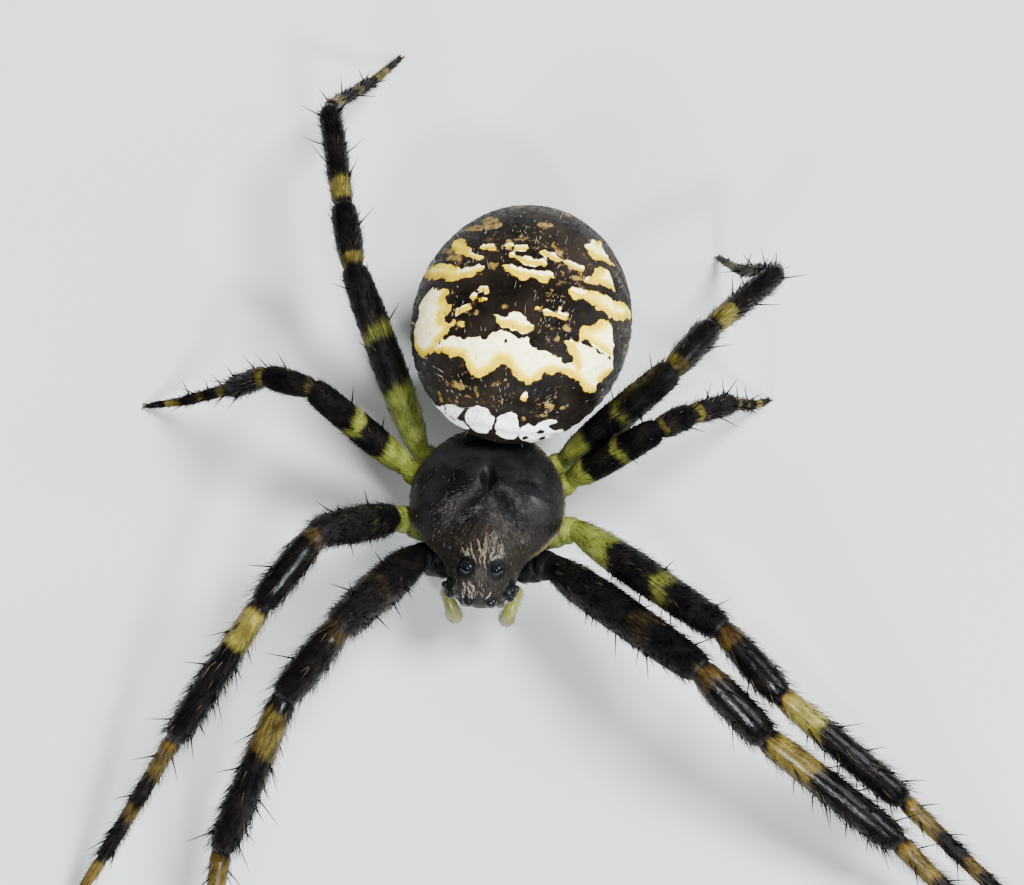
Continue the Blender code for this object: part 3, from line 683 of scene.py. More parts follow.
def abdomenSurface(heights, turns):
    across, along, up = abdomenAxes()
    ring = np.sqrt(np.clip(1 - heights ** 2, 0, 1))
    wide = abdomen["halfWidth"] * ring * np.cos(turns)
    tall = ring * np.sin(turns)
    tall = tall * np.where(tall > 0, abdomen["rise"], abdomen["depth"])
    far = abdomen["halfLength"] * heights
    x, y = overBack(heights, turns)[0].T
    # faint folds across the rear and the flanks
    fold = abdomen["folds"] * np.sin(y * 0.55 + 0.6 * np.sin(x * 0.11)) * smoothStep(40, 75, np.hypot(x, y))
    radius = 1.9  # about the mean one, to turn depths into shares
    inward = 1 - (mounds(np.abs(x), y, abdomen["dents"]) + fold) / radius
    spots = np.outer(wide * inward, across) + np.outer(far * inward, along) + np.outer(tall * inward, up)
    return np.array(abdomen["centre"]) + spots


def insideOutline(spots, outline):
    # distance from an outline, above 0 inside it and below 0 outside
    outline = np.array(outline, float)
    away = lineDistance(spots, list(outline) + [outline[0]])
    inside = np.zeros(len(spots), bool)
    for start, end in zip(outline, np.roll(outline, -1, axis=0)):
        crosses = (start[1] > spots[:, 1]) != (end[1] > spots[:, 1])
        rise = end[1] - start[1] if end[1] != start[1] else 1e-9
        inside ^= crosses & (spots[:, 0] < (end[0] - start[0]) * (spots[:, 1] - start[1]) / rise + start[0])
    return np.where(inside, away, -away)


def insideSpots(spots, rows):
    # the same for short marks
    best = np.full(len(spots), -99.0)
    for x0, y0, x1, y1, size in rows:
        best = np.maximum(best, size - lineDistance(spots, ((x0, y0), (x1, y1))))
    return best


def abdomenFields(heights, turns):
    top, below = overBack(heights, turns)

    def cream(spots):
        found = insideSpots(spots, creamSpots)
        for outline in creamMarks.values():
            found = np.maximum(found, insideOutline(spots, outline))
        return found

    fields = {"cream": np.maximum(cream(top), insideSpots(below, bellyBands))}
    # yellow where the mark's own front edge, or its edge towards the middle, is near
    here = cream(top)
    ahead = here - cream(top + np.array([0.3, -2.0]))
    inward = here - cream(top - np.sign(top[:, :1]) * np.array([[2.0, 0.0]]))
    facing = np.maximum(ahead, np.where(np.abs(top[:, 0]) > 34, inward, -9.0))
    fields["rim"] = smoothStep(7.5, 0.0, here) * smoothStep(-0.2, 1.4, facing)
    white = np.full(len(top), -99.0)
    for outline in whiteMarks.values():
        white = np.maximum(white, insideOutline(top, outline))
    dark = insideSpots(top, darkSpots)
    fields["white"] = np.minimum(white, -dark)
    fields["cream"] = np.minimum(fields["cream"], -dark)
    fields["tan"] = insideSpots(top, tanSpots)
    # groups of small tan specks between the marks, where pale hairs also gather as partly painted glints
    specks = np.zeros(len(top))
    for p, q, size in speckAndGlintGroups:
        specks = np.maximum(specks, np.exp(-((top[:, 0] - p) ** 2 + (top[:, 1] - q) ** 2) / size ** 2))
    fields["specks"] = specks
    return {name: np.clip(values, -8, 8) for name, values in fields.items()}


def buildAbdomen(material):
    shape, heights, turns = roundShape(abdomenSurface, *abdomen["detail"])
    fields = abdomenFields(heights, turns)
    addPiece("abdomenSkin", shape, material, "abdomen_black", ("abdomen",), fields)


# colours of the abdomen, dark to light where there are two
abdomenPaint = {
    "ground": ((0.0025, 0.0018, 0.0013), (0.014, 0.0098, 0.007)),
    "freckles": (0.27, 0.165, 0.06), "tan": (0.25, 0.155, 0.035), "seam": (0.05, 0.012, 0.002),
    "cream": ((0.9, 0.79, 0.36), (1.0, 0.94, 0.6)), "creamFlaw": (0.25, 0.17, 0.1),
    "yellow": (0.75, 0.57, 0.0), "orange": ((0.42, 0.26, 0.0), (0.56, 0.38, 0.0)),
    "chalk": ((0.86, 0.9, 0.85), (1.0, 1.0, 0.95)), "chalkFlaw": (0.2, 0.2, 0.19),
    "roughness": (0.42, 0.64),
}


def abdomenMaterial():
    paint, ground = abdomenPaint, (0.02, 0.016, 0.014)
    material, tree, shader = newMaterial("abdomenPattern", ground, 0.45, Specular_IOR_Level=0.12)
    fine = noise(tree, 7000, 5.0, 0.6)
    ragged = noise(tree, 6200, 2.5, 0.5)
    broad = noise(tree, 900, 3.0, 0.5)

    def edged(name, low, high, wobble):
        return stretch(tree, calc(tree, "ADD", reading(tree, name), ripple(tree, ragged, wobble)), low, high)

    base = mottled(tree, broad, 0.35, 0.7, *paint["ground"])
    specks = stretch(tree, noise(tree, 8200, 3.0, 0.6), 0.58, 0.66)
    base = over(tree, base, paint["freckles"], specks, reading(tree, "specks"), 0.8)
    base = over(tree, base, paint["tan"], edged("tan", -0.5, 0.8, 5.0), stretch(tree, fine, 0.3, 0.6), 0.85)
    # from the mark's front edge inwards: orange, then yellow, then cream
    edge = calc(tree, "ADD", reading(tree, "rim"), ripple(tree, ragged, 0.5))
    orange = mottled(tree, ragged, 0.3, 0.7, *paint["orange"])
    light = mottled(tree, edge, 0.05, 0.5, mottled(tree, fine, 0.35, 0.65, *paint["cream"]), paint["yellow"])
    light = mottled(tree, edge, 0.42, 0.95, light, orange)
    # small dark flaws and thin seams in the pale crystals under the skin
    cells = cellNoise(tree, 7500, feature="DISTANCE_TO_EDGE")
    flaw = calc(tree, "MULTIPLY", stretch(tree, cells, 0.06, 0.0), stretch(tree, broad, 0.45, 0.7))
    light = over(tree, light, paint["creamFlaw"], flaw, 0.5)
    # a thin red-brown edge where cream meets black
    base = over(tree, base, paint["seam"], edged("cream", -0.8, -0.2, 7.0), 0.3)
    base = over(tree, base, light, edged("cream", -0.25, 0.25, 7.0))
    chalk = over(tree, mottled(tree, fine, 0.3, 0.7, *paint["chalk"]), paint["chalkFlaw"], flaw, 0.8)
    base = over(tree, base, chalk, edged("white", -0.3, 0.4, 5.0))
    plug(tree, shader, Base_Color=base, Roughness=stretch(tree, fine, 0.3, 0.7, *paint["roughness"]))
    first = bump(tree, shader, noise(tree, 12000, 4.0, 0.6), 0.00002, 0.6)
    second = bump(tree, shader, cells, 0.000015, 0.35, first)
    raised = calc(tree, "MAXIMUM", edged("cream", -0.6, 0.6, 7.0), edged("white", -0.6, 0.6, 5.0))
    bump(tree, shader, raised, 0.00002, 0.5, second)
    return material


legs = {
    "lengths": {1: (3.9, 1.7, 3.1, 3.2, 1.7), 2: (3.7, 1.6, 3.0, 2.9, 1.6), 3: (2.4, 0.9, 1.5, 1.6, 1.0),
                4: (3.6, 1.3, 2.15, 2.5, 1.4)},
    # thickness of the six segments, from the coxa to the tarsus, against the profiles
    "thickness": {1: (1.04, 1.04, 1.04, 1.04, 1.04, 1.0), 2: (0.93, 0.93, 0.93, 0.93, 0.93, 0.9),
                  3: (0.78, 0.8, 0.8, 0.76, 0.7, 0.7), 4: (0.82, 0.88, 0.88, 0.8, 0.76, 0.76)},
    "coxa": {1: (0.50, -0.64, 1.55), 2: (0.74, -0.11, 1.66), 3: (0.74, 0.42, 1.62), 4: (0.47, 0.98, 1.46)},
    "femur": {1: (1.22, -0.70, 2.0), 2: (1.62, -0.05, 2.2), 3: (1.48, 0.95, 2.08), 4: (1.32, 1.45, 1.68)},
    "pose": {
        (1, "left"): ((50, 22), (53, -26), (61, -23), (52, 42)),
        (1, "right"): ((24, 47), (42, -36), (23, -35), (5, 5)),
        (2, "left"): ((51, 20), (49, -20), (60, -27), (54, 62)),
        (2, "right"): ((37, 58), (37, -21), (36, -35), (37, 37)),
        (3, "left"): ((103, 50), (132, -32), (134, -46), (145, 145)),
        (3, "right"): ((117, 33), (104, -4), (109, -60), (101, 101)),
        (4, "left"): ((110, 57), (148, -17), (143, -24), (215, 207)),
        (4, "right"): ((154, 25), (167, -2), (168, -7), (203, 203)),
    },
    "tarsusRise": 8.0, "footLift": 0.1, "footReach": 0.05, "bendRadius": 0.42,
    "detail": (28, 240),
    "roundEnds": (0.35, 0.03),  # shares of the coxa and of the tarsus that are rounded off
    "shine": {1: 0.14, 2: 0.14, 3: 0.01, 4: 0.09},
    # for each segment, pairs of share of its length and radius in mm
    "profiles": (
        ((0, 0.22), (0.1, 0.265), (0.45, 0.285), (0.68, 0.275), (0.74, 0.235), (0.78, 0.26), (0.9, 0.265),
         (1, 0.23)),
        ((0, 0.215), (0.04, 0.235), (0.12, 0.29), (0.3, 0.335), (0.6, 0.335), (0.85, 0.31), (0.95, 0.285),
         (1, 0.24)),
        ((0, 0.21), (0.08, 0.24), (0.3, 0.275), (0.6, 0.288), (0.88, 0.275), (0.96, 0.245), (1, 0.205)),
        ((0, 0.2), (0.04, 0.222), (0.2, 0.25), (0.5, 0.262), (0.85, 0.262), (0.95, 0.24), (1, 0.175)),
        ((0, 0.155), (0.04, 0.178), (0.12, 0.168), (0.5, 0.148), (0.9, 0.135), (0.97, 0.13), (1, 0.112)),
        ((0, 0.102), (0.05, 0.112), (0.4, 0.1), (0.8, 0.08), (1, 0.05)),
    ),
}
# for each leg: end of the pale base, then the bands of femur, patella and tibia as from, to and paleness; the
# paleness is partly the bands' colour and partly painted shade, lower on the legs that lie in shade
legMarks = {
    (1, "left"): (0.0, (0.6, 0.71, 0.24), (0.02, 0.2, 0.38), (0.03, 0.36, 0.66)),
    (1, "right"): (0.0, (0.54, 0.65, 0.22), (0.02, 0.16, 0.3), (0.08, 0.37, 0.48)),
    (2, "left"): (0.26, (0.58, 0.68, 0.55), (0.02, 0.22, 0.4), (0.01, 0.3, 1.0)),
    (2, "right"): (0.12, (0.45, 0.54, 0.18), (0.02, 0.16, 0.36), (0.04, 0.31, 0.8)),
    (3, "left"): (0.22, (0.57, 0.66, 0.58), (0.04, 0.15, 0.36), (0.0, 0.14, 0.48)),
    (3, "right"): (0.27, (0.53, 0.63, 0.72), (0.02, 0.14, 0.22), (0.0, 0.12, 0.45)),
    (4, "left"): (0.25, (0.54, 0.62, 0.42), (0.02, 0.18, 0.42), (0.01, 0.26, 0.54)),
    (4, "right"): (0.33, (0.61, 0.69, 0.5), (0.02, 0.17, 0.48), (0.02, 0.24, 0.52)),
}
# the same for the feet of the long and of the short legs: two bands on the metatarsus, one on the tarsus
footMarks = (((0.02, 0.3, 0.62), (0.53, 0.67, 0.5), (0.03, 0.45, 0.65)),
             ((0.02, 0.24, 0.5), (0.5, 0.66, 0.42), (0.03, 0.45, 0.65)))
# colour of the pale parts along a leg: 0 olive, 0.5 straw yellow, 1 orange-brown
legAmber = ((0, 0.0), (1.35, 0.0), (1.5, 0.15), (1.8, 0.2), (2.0, 1.0), (2.5, 1.0), (3.0, 0.9), (3.08, 0.55),
            (3.25, 0.5), (3.36, 0.75), (4.0, 0.9), (4.2, 0.8), (4.5, 0.95), (5.0, 0.85), (6.0, 1.0))


def legBand(pair, side):
    # paleness along a leg, by segment and share: 0 is black and 1 is pale
    base, *bands = legMarks[pair, side]
    coxa = 0.8 if base else 0.03
    rows = [(0, coxa), (1 + base, coxa), (1.05 + base, 0.0)]
    for start, (low, high, pale) in zip((1, 2, 3, 4, 4, 5), (*bands, *footMarks[pair > 2])):
        low, high = start + low, start + high
        rows += [(low - 0.03, 0.0), (low + 0.02, pale), (high - 0.02, pale), (high + 0.03, 0.0)]
    return rows


def heading(sign, turn, pitch):
    turn, pitch = math.radians(turn), math.radians(pitch)
    flat = math.cos(pitch)
    return np.array([sign * math.sin(turn) * flat, -math.cos(turn) * flat, math.sin(pitch)])


def legCorners(pair, side):
    # the leg's joints from the body to the tip, with the foot on the floor
    sign = sides[side]
    flip = np.array([sign, 1, 1])
    *upper, (footTurn, toeTurn) = legs["pose"][pair, side]
    corners = [np.array(legs["coxa"][pair]) * flip, np.array(legs["femur"][pair]) * flip]
    for length, (turn, pitch) in zip(legs["lengths"][pair], upper):
        corners.append(corners[-1] + heading(sign, turn, pitch) * length)
    metatarsus, tarsus = legs["lengths"][pair][3:]
    drop = corners[-1][2] - legs["footLift"]
    rise = math.radians(legs["tarsusRise"])
    level = metatarsus + tarsus * math.cos(rise)
    slope = math.asin(drop / math.hypot(level, tarsus * math.sin(rise)))
    slope = math.degrees(slope + math.atan2(tarsus * math.sin(rise), level))
    corners.append(corners[-1] + heading(sign, footTurn, -slope) * metatarsus)
    tip = heading(sign, toeTurn, legs["tarsusRise"] - slope)
    corners.append(corners[-1] + tip * (tarsus + legs["footReach"]))
    return np.array(corners)


def legReader(pair, side):
    # gives the centre line, its directions and the radius at a place 0..6 along the leg
    corners = legCorners(pair, side)
    spans = np.diff(corners, axis=0)
    lengths = np.linalg.norm(spans, axis=1)
    ways = spans / lengths[:, None]
    # how far the bend of each joint reaches along its two segments
    half = np.arccos(np.clip(np.sum(ways[:-1] * ways[1:], axis=1), -1, 1)) / 2
    reach = np.zeros(7)
    reach[1:6] = np.minimum(legs["bendRadius"] * np.tan(half), 0.45 * np.minimum(lengths[:-1], lengths[1:]))
    steps = np.linspace(0, 6, 1201)
    index = np.minimum(steps.astype(int), 5)
    run = (steps - index) * lengths[index]
    left = lengths[index] - run
    joint = np.where(run < reach[index], index, np.where(left < reach[index + 1], index + 1, 0))
    bent = joint > 0
    share = 0.5 + 0.5 * np.where(joint == index, run, -left)[bent] / reach[joint[bent]]
    share = share[:, None]
    line = corners[index] + spans[index] * (steps - index)[:, None]
    corner, far = corners[joint[bent]], reach[joint[bent], None]
    start, end = corner - ways[joint[bent] - 1] * far, corner + ways[joint[bent]] * far
    line[bent] = start * (1 - share) ** 2 + corner * 2 * share * (1 - share) + end * share ** 2
    radii = np.empty(len(steps))
    for segment, table in enumerate(legs["profiles"]):
        span = (steps >= segment) & (steps <= segment + 1)
        radii[span] = curveAt(steps[span] - segment, table)
    radii *= np.interp(steps, np.arange(6) + 0.5, legs["thickness"][pair])

    def lineAt(places):
        return np.stack([np.interp(places, steps, column) for column in line.T], -1)

    def read(places):
        along = unit(lineAt(places + 0.01) - lineAt(places - 0.01))
        top = unit(np.array([0, 0, 1.0]) - along * along[:, 2:])
        return lineAt(places), along, top, np.cross(along, top), np.interp(places, steps, radii)

    return read


def ringPlaces(heights):
    # the rings of a leg lie closer together at its joints, more so the larger the squeeze
    squeeze = 0.75
    spread = 6 * np.arccos(np.clip(-heights, -1, 1)) / math.pi
    index = np.minimum(np.floor(spread), 5)
    part = spread - index
    return index + part - squeeze * np.sin(2 * math.pi * part) / (2 * math.pi)


def legSurface(pair, side):
    # skin of a whole leg, read by height -1..1 and turn
    read = legReader(pair, side)

    def surface(heights, turns):
        places = ringPlaces(heights)
        spots, _, top, across, radius = read(places)
        first, last = legs["roundEnds"]
        radius = radius * rounded(np.minimum(places / first, (6 - places) / last))
        return spots + roundAbout(top, across, turns) * radius[:, None]

    return surface


def legTones(pair, side, places, turns):
    # paleness, colour of the pale parts and thin skin under the joints
    wave = 0.018 * np.sin(turns * 2 + pair) + 0.01 * np.sin(turns * 5)
    pale = np.interp(places + wave, *zip(*legBand(pair, side)))
    amber = np.interp(places, *zip(*legAmber))
    if pair == 1:  # the first pair's femur is only brown at its band
        amber = np.maximum(amber, np.where(places < 1.9, 1.0, 0.76))
    if pair > 2:
        amber = np.where(places > 1.98, np.clip(amber, 0.6, 0.72), amber)
    share = places - np.round(places)
    under = smoothStep(0.2, -0.6, np.cos(turns))
    membrane = np.exp(-(share / 0.012) ** 2) * (places > 1.5) * (places < 5.5) * under
    return pale, amber, membrane


def buildLegs():
    materials = {pair: legMaterial(f"legBands_{pair}", shine) for pair, shine in legs["shine"].items()}
    for pair, side in legs["pose"]:
        shape, heights, turns = roundShape(legSurface(pair, side), *legs["detail"])
        nodes = [f"leg_{pair}_{side}_{part}" for part in ("femur", "tibia", "foot")]
        places = ringPlaces(heights)
        fields = dict(zip(("pale", "amber", "membrane"), legTones(pair, side, places, turns)))
        fields["gloss"] = smoothStep(1.9, 2.2, places) * smoothStep(4.4, 4.0, places)
        fields["gloss"] *= 1 if pair < 3 else 0.8
        piece = addPiece(f"legSkin_{pair}_{side}", shape, materials[pair], "leg_black", nodes, fields)
        streaks = piece.data.attributes.new("streaks", "FLOAT_VECTOR", "POINT")
        rows = np.stack([np.cos(turns), np.sin(turns), places], -1)
        streaks.data.foreach_set("vector", rows.astype(np.float32).ravel())


# colours of the legs, each dark to light
legPaint = {
    "black": ((0.0012, 0.0011, 0.0014), (0.005, 0.0042, 0.0038)),
    "olive": ((0.064, 0.074, 0.01), (0.138, 0.156, 0.028)),
    "straw": ((0.058, 0.048, 0.007), (0.16, 0.138, 0.027)),
    "orange": ((0.034, 0.018, 0.003), (0.11, 0.064, 0.011)),
    "membrane": (0.16, 0.1, 0.05), "pit": (0.006, 0.004, 0.003),
    "roughness": (0.5, 0.22),  # from the dull parts to the glossy ones
}


def legMaterial(name, shine):
    material, tree, shader = newMaterial(name, (0.02, 0.018, 0.017), 0.3, Specular_IOR_Level=shine)
    fine = noise(tree, 8.0, 4.0, 0.6, reading(tree, "streaks", "Vector"))
    broad = noise(tree, 2600, 3.0, 0.5)
    tones = [mottled(tree, broad, 0.3, 0.7, *legPaint[tone]) for tone in ("olive", "straw", "orange")]
    light = mottled(tree, reading(tree, "amber"), 0.0, 0.5, *tones[:2])
    light = mottled(tree, reading(tree, "amber"), 0.5, 1.0, light, tones[2])
    pale = calc(tree, "ADD", reading(tree, "pale"), ripple(tree, fine, 1.1))
    base = mottled(tree, pale, 0.1, 1.0, mottled(tree, broad, 0.35, 0.7, *legPaint["black"]), light)
    base = over(tree, base, legPaint["membrane"], reading(tree, "membrane"), 0.6)
    pits = cellNoise(tree, 13000)
    base = over(tree, base, legPaint["pit"], stretch(tree, pits, 0.3, 0.12), 0.5)
    dull = stretch(tree, reading(tree, "gloss"), 0.0, 1.0, *legPaint["roughness"])
    plug(tree, shader, Base_Color=base, Roughness=calc(tree, "ADD", dull, ripple(tree, fine, 0.2)))
    bump(tree, shader, pits, 0.000004, 0.4, bump(tree, shader, fine, 0.00001, 0.5))
    return material


# middle and half sizes of the round parts, points and radii of the long ones, in mm
parts = {
    "chelicera": ((0.27, -1.08, 1.55), (0.2, 0.19, 0.53)),
    "fang": (((0.31, -1.13, 1.2), (0.33, -1.15, 0.98), (0.27, -1.1, 0.88), (0.17, -1.02, 0.85)),
             (0.085, 0.08, 0.055, 0.015)),
    "palp": (((0.62, -1.02, 1.42), (0.64, -1.15, 1.62), (0.6, -1.34, 1.7), (0.53, -1.49, 1.6),
              (0.47, -1.54, 1.3), (0.45, -1.48, 1.08)), (0.1, 0.105, 0.105, 0.125, 0.145, 0.1)),
    "mouth": ((0.0, -0.6, 1.36), (0.29, 0.15, 0.19)),
    "sternum": ((0.0, 0.26, 1.34), (0.58, 0.58, 0.12), 0.05),
    "pedicel": (((0.0, 1.42, 2.2), (0.06, 1.7, 2.3), (0.16, 2.05, 2.45)), (0.19, 0.15, 0.19)),
    "spinneret": {"place": 0.7, "length": 0.4, "radius": 0.13, "spread": 0.13, "mound": (0.27, 0.28, 0.22)},
}
# their colours, dark and light, roughness, size of the grain and what is laid over them
partPaint = {
    "mouthBlack": ((0.004, 0.0035, 0.0035), (0.016, 0.012, 0.01), 0.4, 4000, None),
    "fangBrown": ((0.012, 0.004, 0.002), (0.045, 0.014, 0.006), 0.25, 4000, None),
    "palpYellow": ((0.08, 0.09, 0.016), (0.155, 0.16, 0.036), 0.45, 3500, (0.08, 0.05, 0.015)),
    "plateBrown": ((0.014, 0.011, 0.009), (0.05, 0.035, 0.022), 0.45, 4000, (0.5, 0.42, 0.2)),
    "spinneretBrown": ((0.03, 0.02, 0.014), (0.14, 0.09, 0.05), 0.45, 4000, None),
    "clawBrown": ((0.03, 0.015, 0.008), (0.1, 0.05, 0.02), 0.3, 4000, None),
}


def eggSurface(centre, radii, furrow=0.0):
    def surface(heights, turns):
        ring = np.sqrt(np.clip(1 - heights ** 2, 0, 1))
        flat = ring * (1 + furrow * np.cos(turns * 6) * ring)
        spots = np.stack([flat * np.cos(turns), flat * np.sin(turns), heights], -1)
        return np.array(centre) + spots * np.array(radii)

    return surface


def partSurface(name, sign=1):
    # a small part's surface on her left or, with sign -1, on her right
    points, *sizes = parts[name]
    points = np.array(points) * np.array([sign, 1, 1])
    return tubeSurface(points, *sizes) if points.ndim == 2 else eggSurface(points, *sizes)


def partMaterial(name):
    deep, light, roughness, scale, pale = partPaint[name]
    material, tree, shader = newMaterial(name, deep, roughness, Coat_Weight=0.2, Coat_Roughness=0.2)
    spread = noise(tree, scale, 4.0, 0.6)
    base = mottled(tree, spread, 0.35, 0.7, deep, light)
    if pale:
        base = over(tree, base, pale, reading(tree, "pale"))
    dull = stretch(tree, spread, 0.3, 0.7, roughness - 0.08, roughness + 0.12)
    plug(tree, shader, Base_Color=base, Roughness=dull)
    bump(tree, shader, noise(tree, scale * 4, 3.0, 0.6), 0.00001, 0.6)
    return material


def buildMouth():
    shell, plate = partMaterial("mouthBlack"), partMaterial("plateBrown")
    # part, piece, points around, rings, material and slot
    rows = (
        ("chelicera", "cheliceraSkin", 48, 40, shell, "black_shell"),
        ("fang", "fangClaw", 16, 32, partMaterial("fangBrown"), "fang"),
        ("palp", "palpSkin", 28, 90, partMaterial("palpYellow"), "palp_pale"),
    )
    for side, sign in sides.items():
        for part, skin, around, rings, material, slot in rows:
            shape, heights = roundShape(partSurface(part, sign), around, rings)[:2]
            fields = {"pale": smoothStep(0.6, 1.0, heights) * 0.8} if part == "palp" else ()
            addPiece(f"{skin}_{side}", shape, material, slot, (f"{part}_{side}",), fields)
    shape, heights = roundShape(partSurface("mouth"), 40, 30)[:2]
    fields = {"pale": smoothStep(-0.2, -0.8, heights) * 0.5}
    addPiece("mouthSkin", shape, plate, "black_shell", ("mouthparts",), fields)
    shape = roundShape(partSurface("sternum"), 72, 40)[0]
    x, y = spotsOf(shape).T[:2]
    fields = {"pale": smoothStep(0.26, 0.12, np.abs(x)) * smoothStep(0.75, 0.5, np.abs(y - 0.2))}
    addPiece("sternumSkin", shape, plate, "black_shell", ("sternum",), fields)
    addPiece("pedicelSkin", roundShape(partSurface("pedicel"), 24, 24)[0], shell, "black_shell", ("pedicel",))


def buildSpinnerets():
    spin = parts["spinneret"]
    across, along, up = abdomenAxes()
    # a little outside the abdomen's skin, on its underside
    down = up * 1.5 * math.sqrt(1 - spin["place"] ** 2)
    centre = np.array(abdomen["centre"]) + along * 2.45 * spin["place"] - down
    pointing = unit(along * 0.5 - up)
    mound = tubeSurface([centre + pointing * reach for reach in (-0.2, -0.05, 0.12)], spin["mound"])
    cones = []
    for sideways in (-1, 1):
        for rearward, outward, share in ((-1, 1, 1.0), (1, 1, 1.0), (0, 0.45, 0.6)):
            start = centre + (across * sideways * outward + along * rearward) * spin["spread"]
            way = (pointing + across * sideways * 0.2 - along * rearward * 0.15) * spin["length"] * share
            radii = np.array([1, 0.9, 0.5]) * spin["radius"] * share
            cones.append(tubeSurface([start, start + way * 0.5, start + way], radii))
    whole = addShapes(roundShape(mound, 36, 24)[0], cones, 20, 24)
    addPiece("spinneretSkin", whole, partMaterial("spinneretBrown"), "black_shell", ("spinnerets",))


def spikeShape(count, steps, taper):
    # spike of length 1 along z with its root at z 0, as points and triangles
    shape = bmesh.new()
    bmesh.ops.create_cone(shape, cap_ends=True, segments=count, radius1=1.0, radius2=0.0, depth=1.0,
                          matrix=Matrix.Translation((0, 0, 0.5)))
    for index in range(1, steps):
        everything = shape.verts[:] + shape.edges[:] + shape.faces[:]
        bmesh.ops.bisect_plane(shape, geom=everything, plane_co=(0, 0, index / steps), plane_no=(0, 0, 1))
    for vertex in shape.verts:
        if 0.01 < vertex.co.z < 0.99:
            wide = (1 - vertex.co.z) ** taper / (1 - vertex.co.z)
            vertex.co.x *= wide
            vertex.co.y *= wide
    bmesh.ops.triangulate(shape, faces=shape.faces)
    shape.verts.index_update()
    faces = np.array([[vertex.index for vertex in face.verts] for face in shape.faces])
    spots = spotsOf(shape)
    shape.free()
    return spots, faces


def plant(name, material, slot, columns, keep=slice(None)):
    # sets one spike at each root kept; maps are the roots' places on the unwrap
    roots, ways, normals, lengths, maps, pale = (column[keep] for column in columns)
    *form, width, bend = coat["spikes"][name.split("_")[0]]
    spots, faces = spikeShape(*form)
    x, y, z = spots.T
    side = unit(np.cross(ways, normals))
    placed = roots[:, None] + ways[:, None] * np.outer(lengths, z)[..., None]
    placed += side[:, None] * (x * width)[:, None] + np.cross(side, ways)[:, None] * (y * width)[:, None]
    placed -= normals[:, None] * np.outer(bend * lengths, z ** 2)[..., None]
    order = (faces + (np.arange(len(roots)) * len(spots))[:, None, None]).reshape(-1, 3)
    mesh = bpy.data.meshes.new(name)
    mesh.from_pydata(((placed.reshape(-1, 3) + shift) * mm).tolist(), [], order.tolist())
    # each spike is a small patch round its root's place
    patch = np.stack([x * 0.0007 + 0.0015, z * 0.0015 + 0.0007], -1)
    places = (maps[:, None] * 0.996 + patch).reshape(-1, 2)
    layer = mesh.uv_layers.new(name="OFBake")
    layer.data.foreach_set("uv", places[order.ravel()].astype(np.float32).ravel())
    setValues(mesh, "pale", np.repeat(pale, len(spots)))
    linkPiece(name, mesh, material, slot)


def leaning(along, normals, lean, scatter):
    # directions that lean away from the skin by an angle, with some scatter
    count = len(normals)
    flow = unit(along - normals * np.sum(along * normals, axis=1)[:, None])
    side = np.cross(normals, flow)
    stray = chance.normal(0, scatter, count)
    flow = flow * np.cos(stray)[:, None] + side * np.sin(stray)[:, None]
    lean = np.radians(lean + chance.normal(0, 6, count))
    return unit(flow * np.cos(lean)[:, None] + normals * np.sin(lean)[:, None])


def hairMaterial(name, dark, pale, roughness=0.38):
    material, tree, shader = newMaterial(name, dark, roughness, Specular_IOR_Level=0.0)
    change = noise(tree, 5000, 2.0)
    deep = blendColours(tree, change, dark, tuple(value * 2.2 for value in dark))
    dull = stretch(tree, change, 0.3, 0.7, roughness - 0.08, roughness + 0.1)
    plug(tree, shader, Base_Color=over(tree, deep, pale, reading(tree, "pale")), Roughness=dull)
    return material


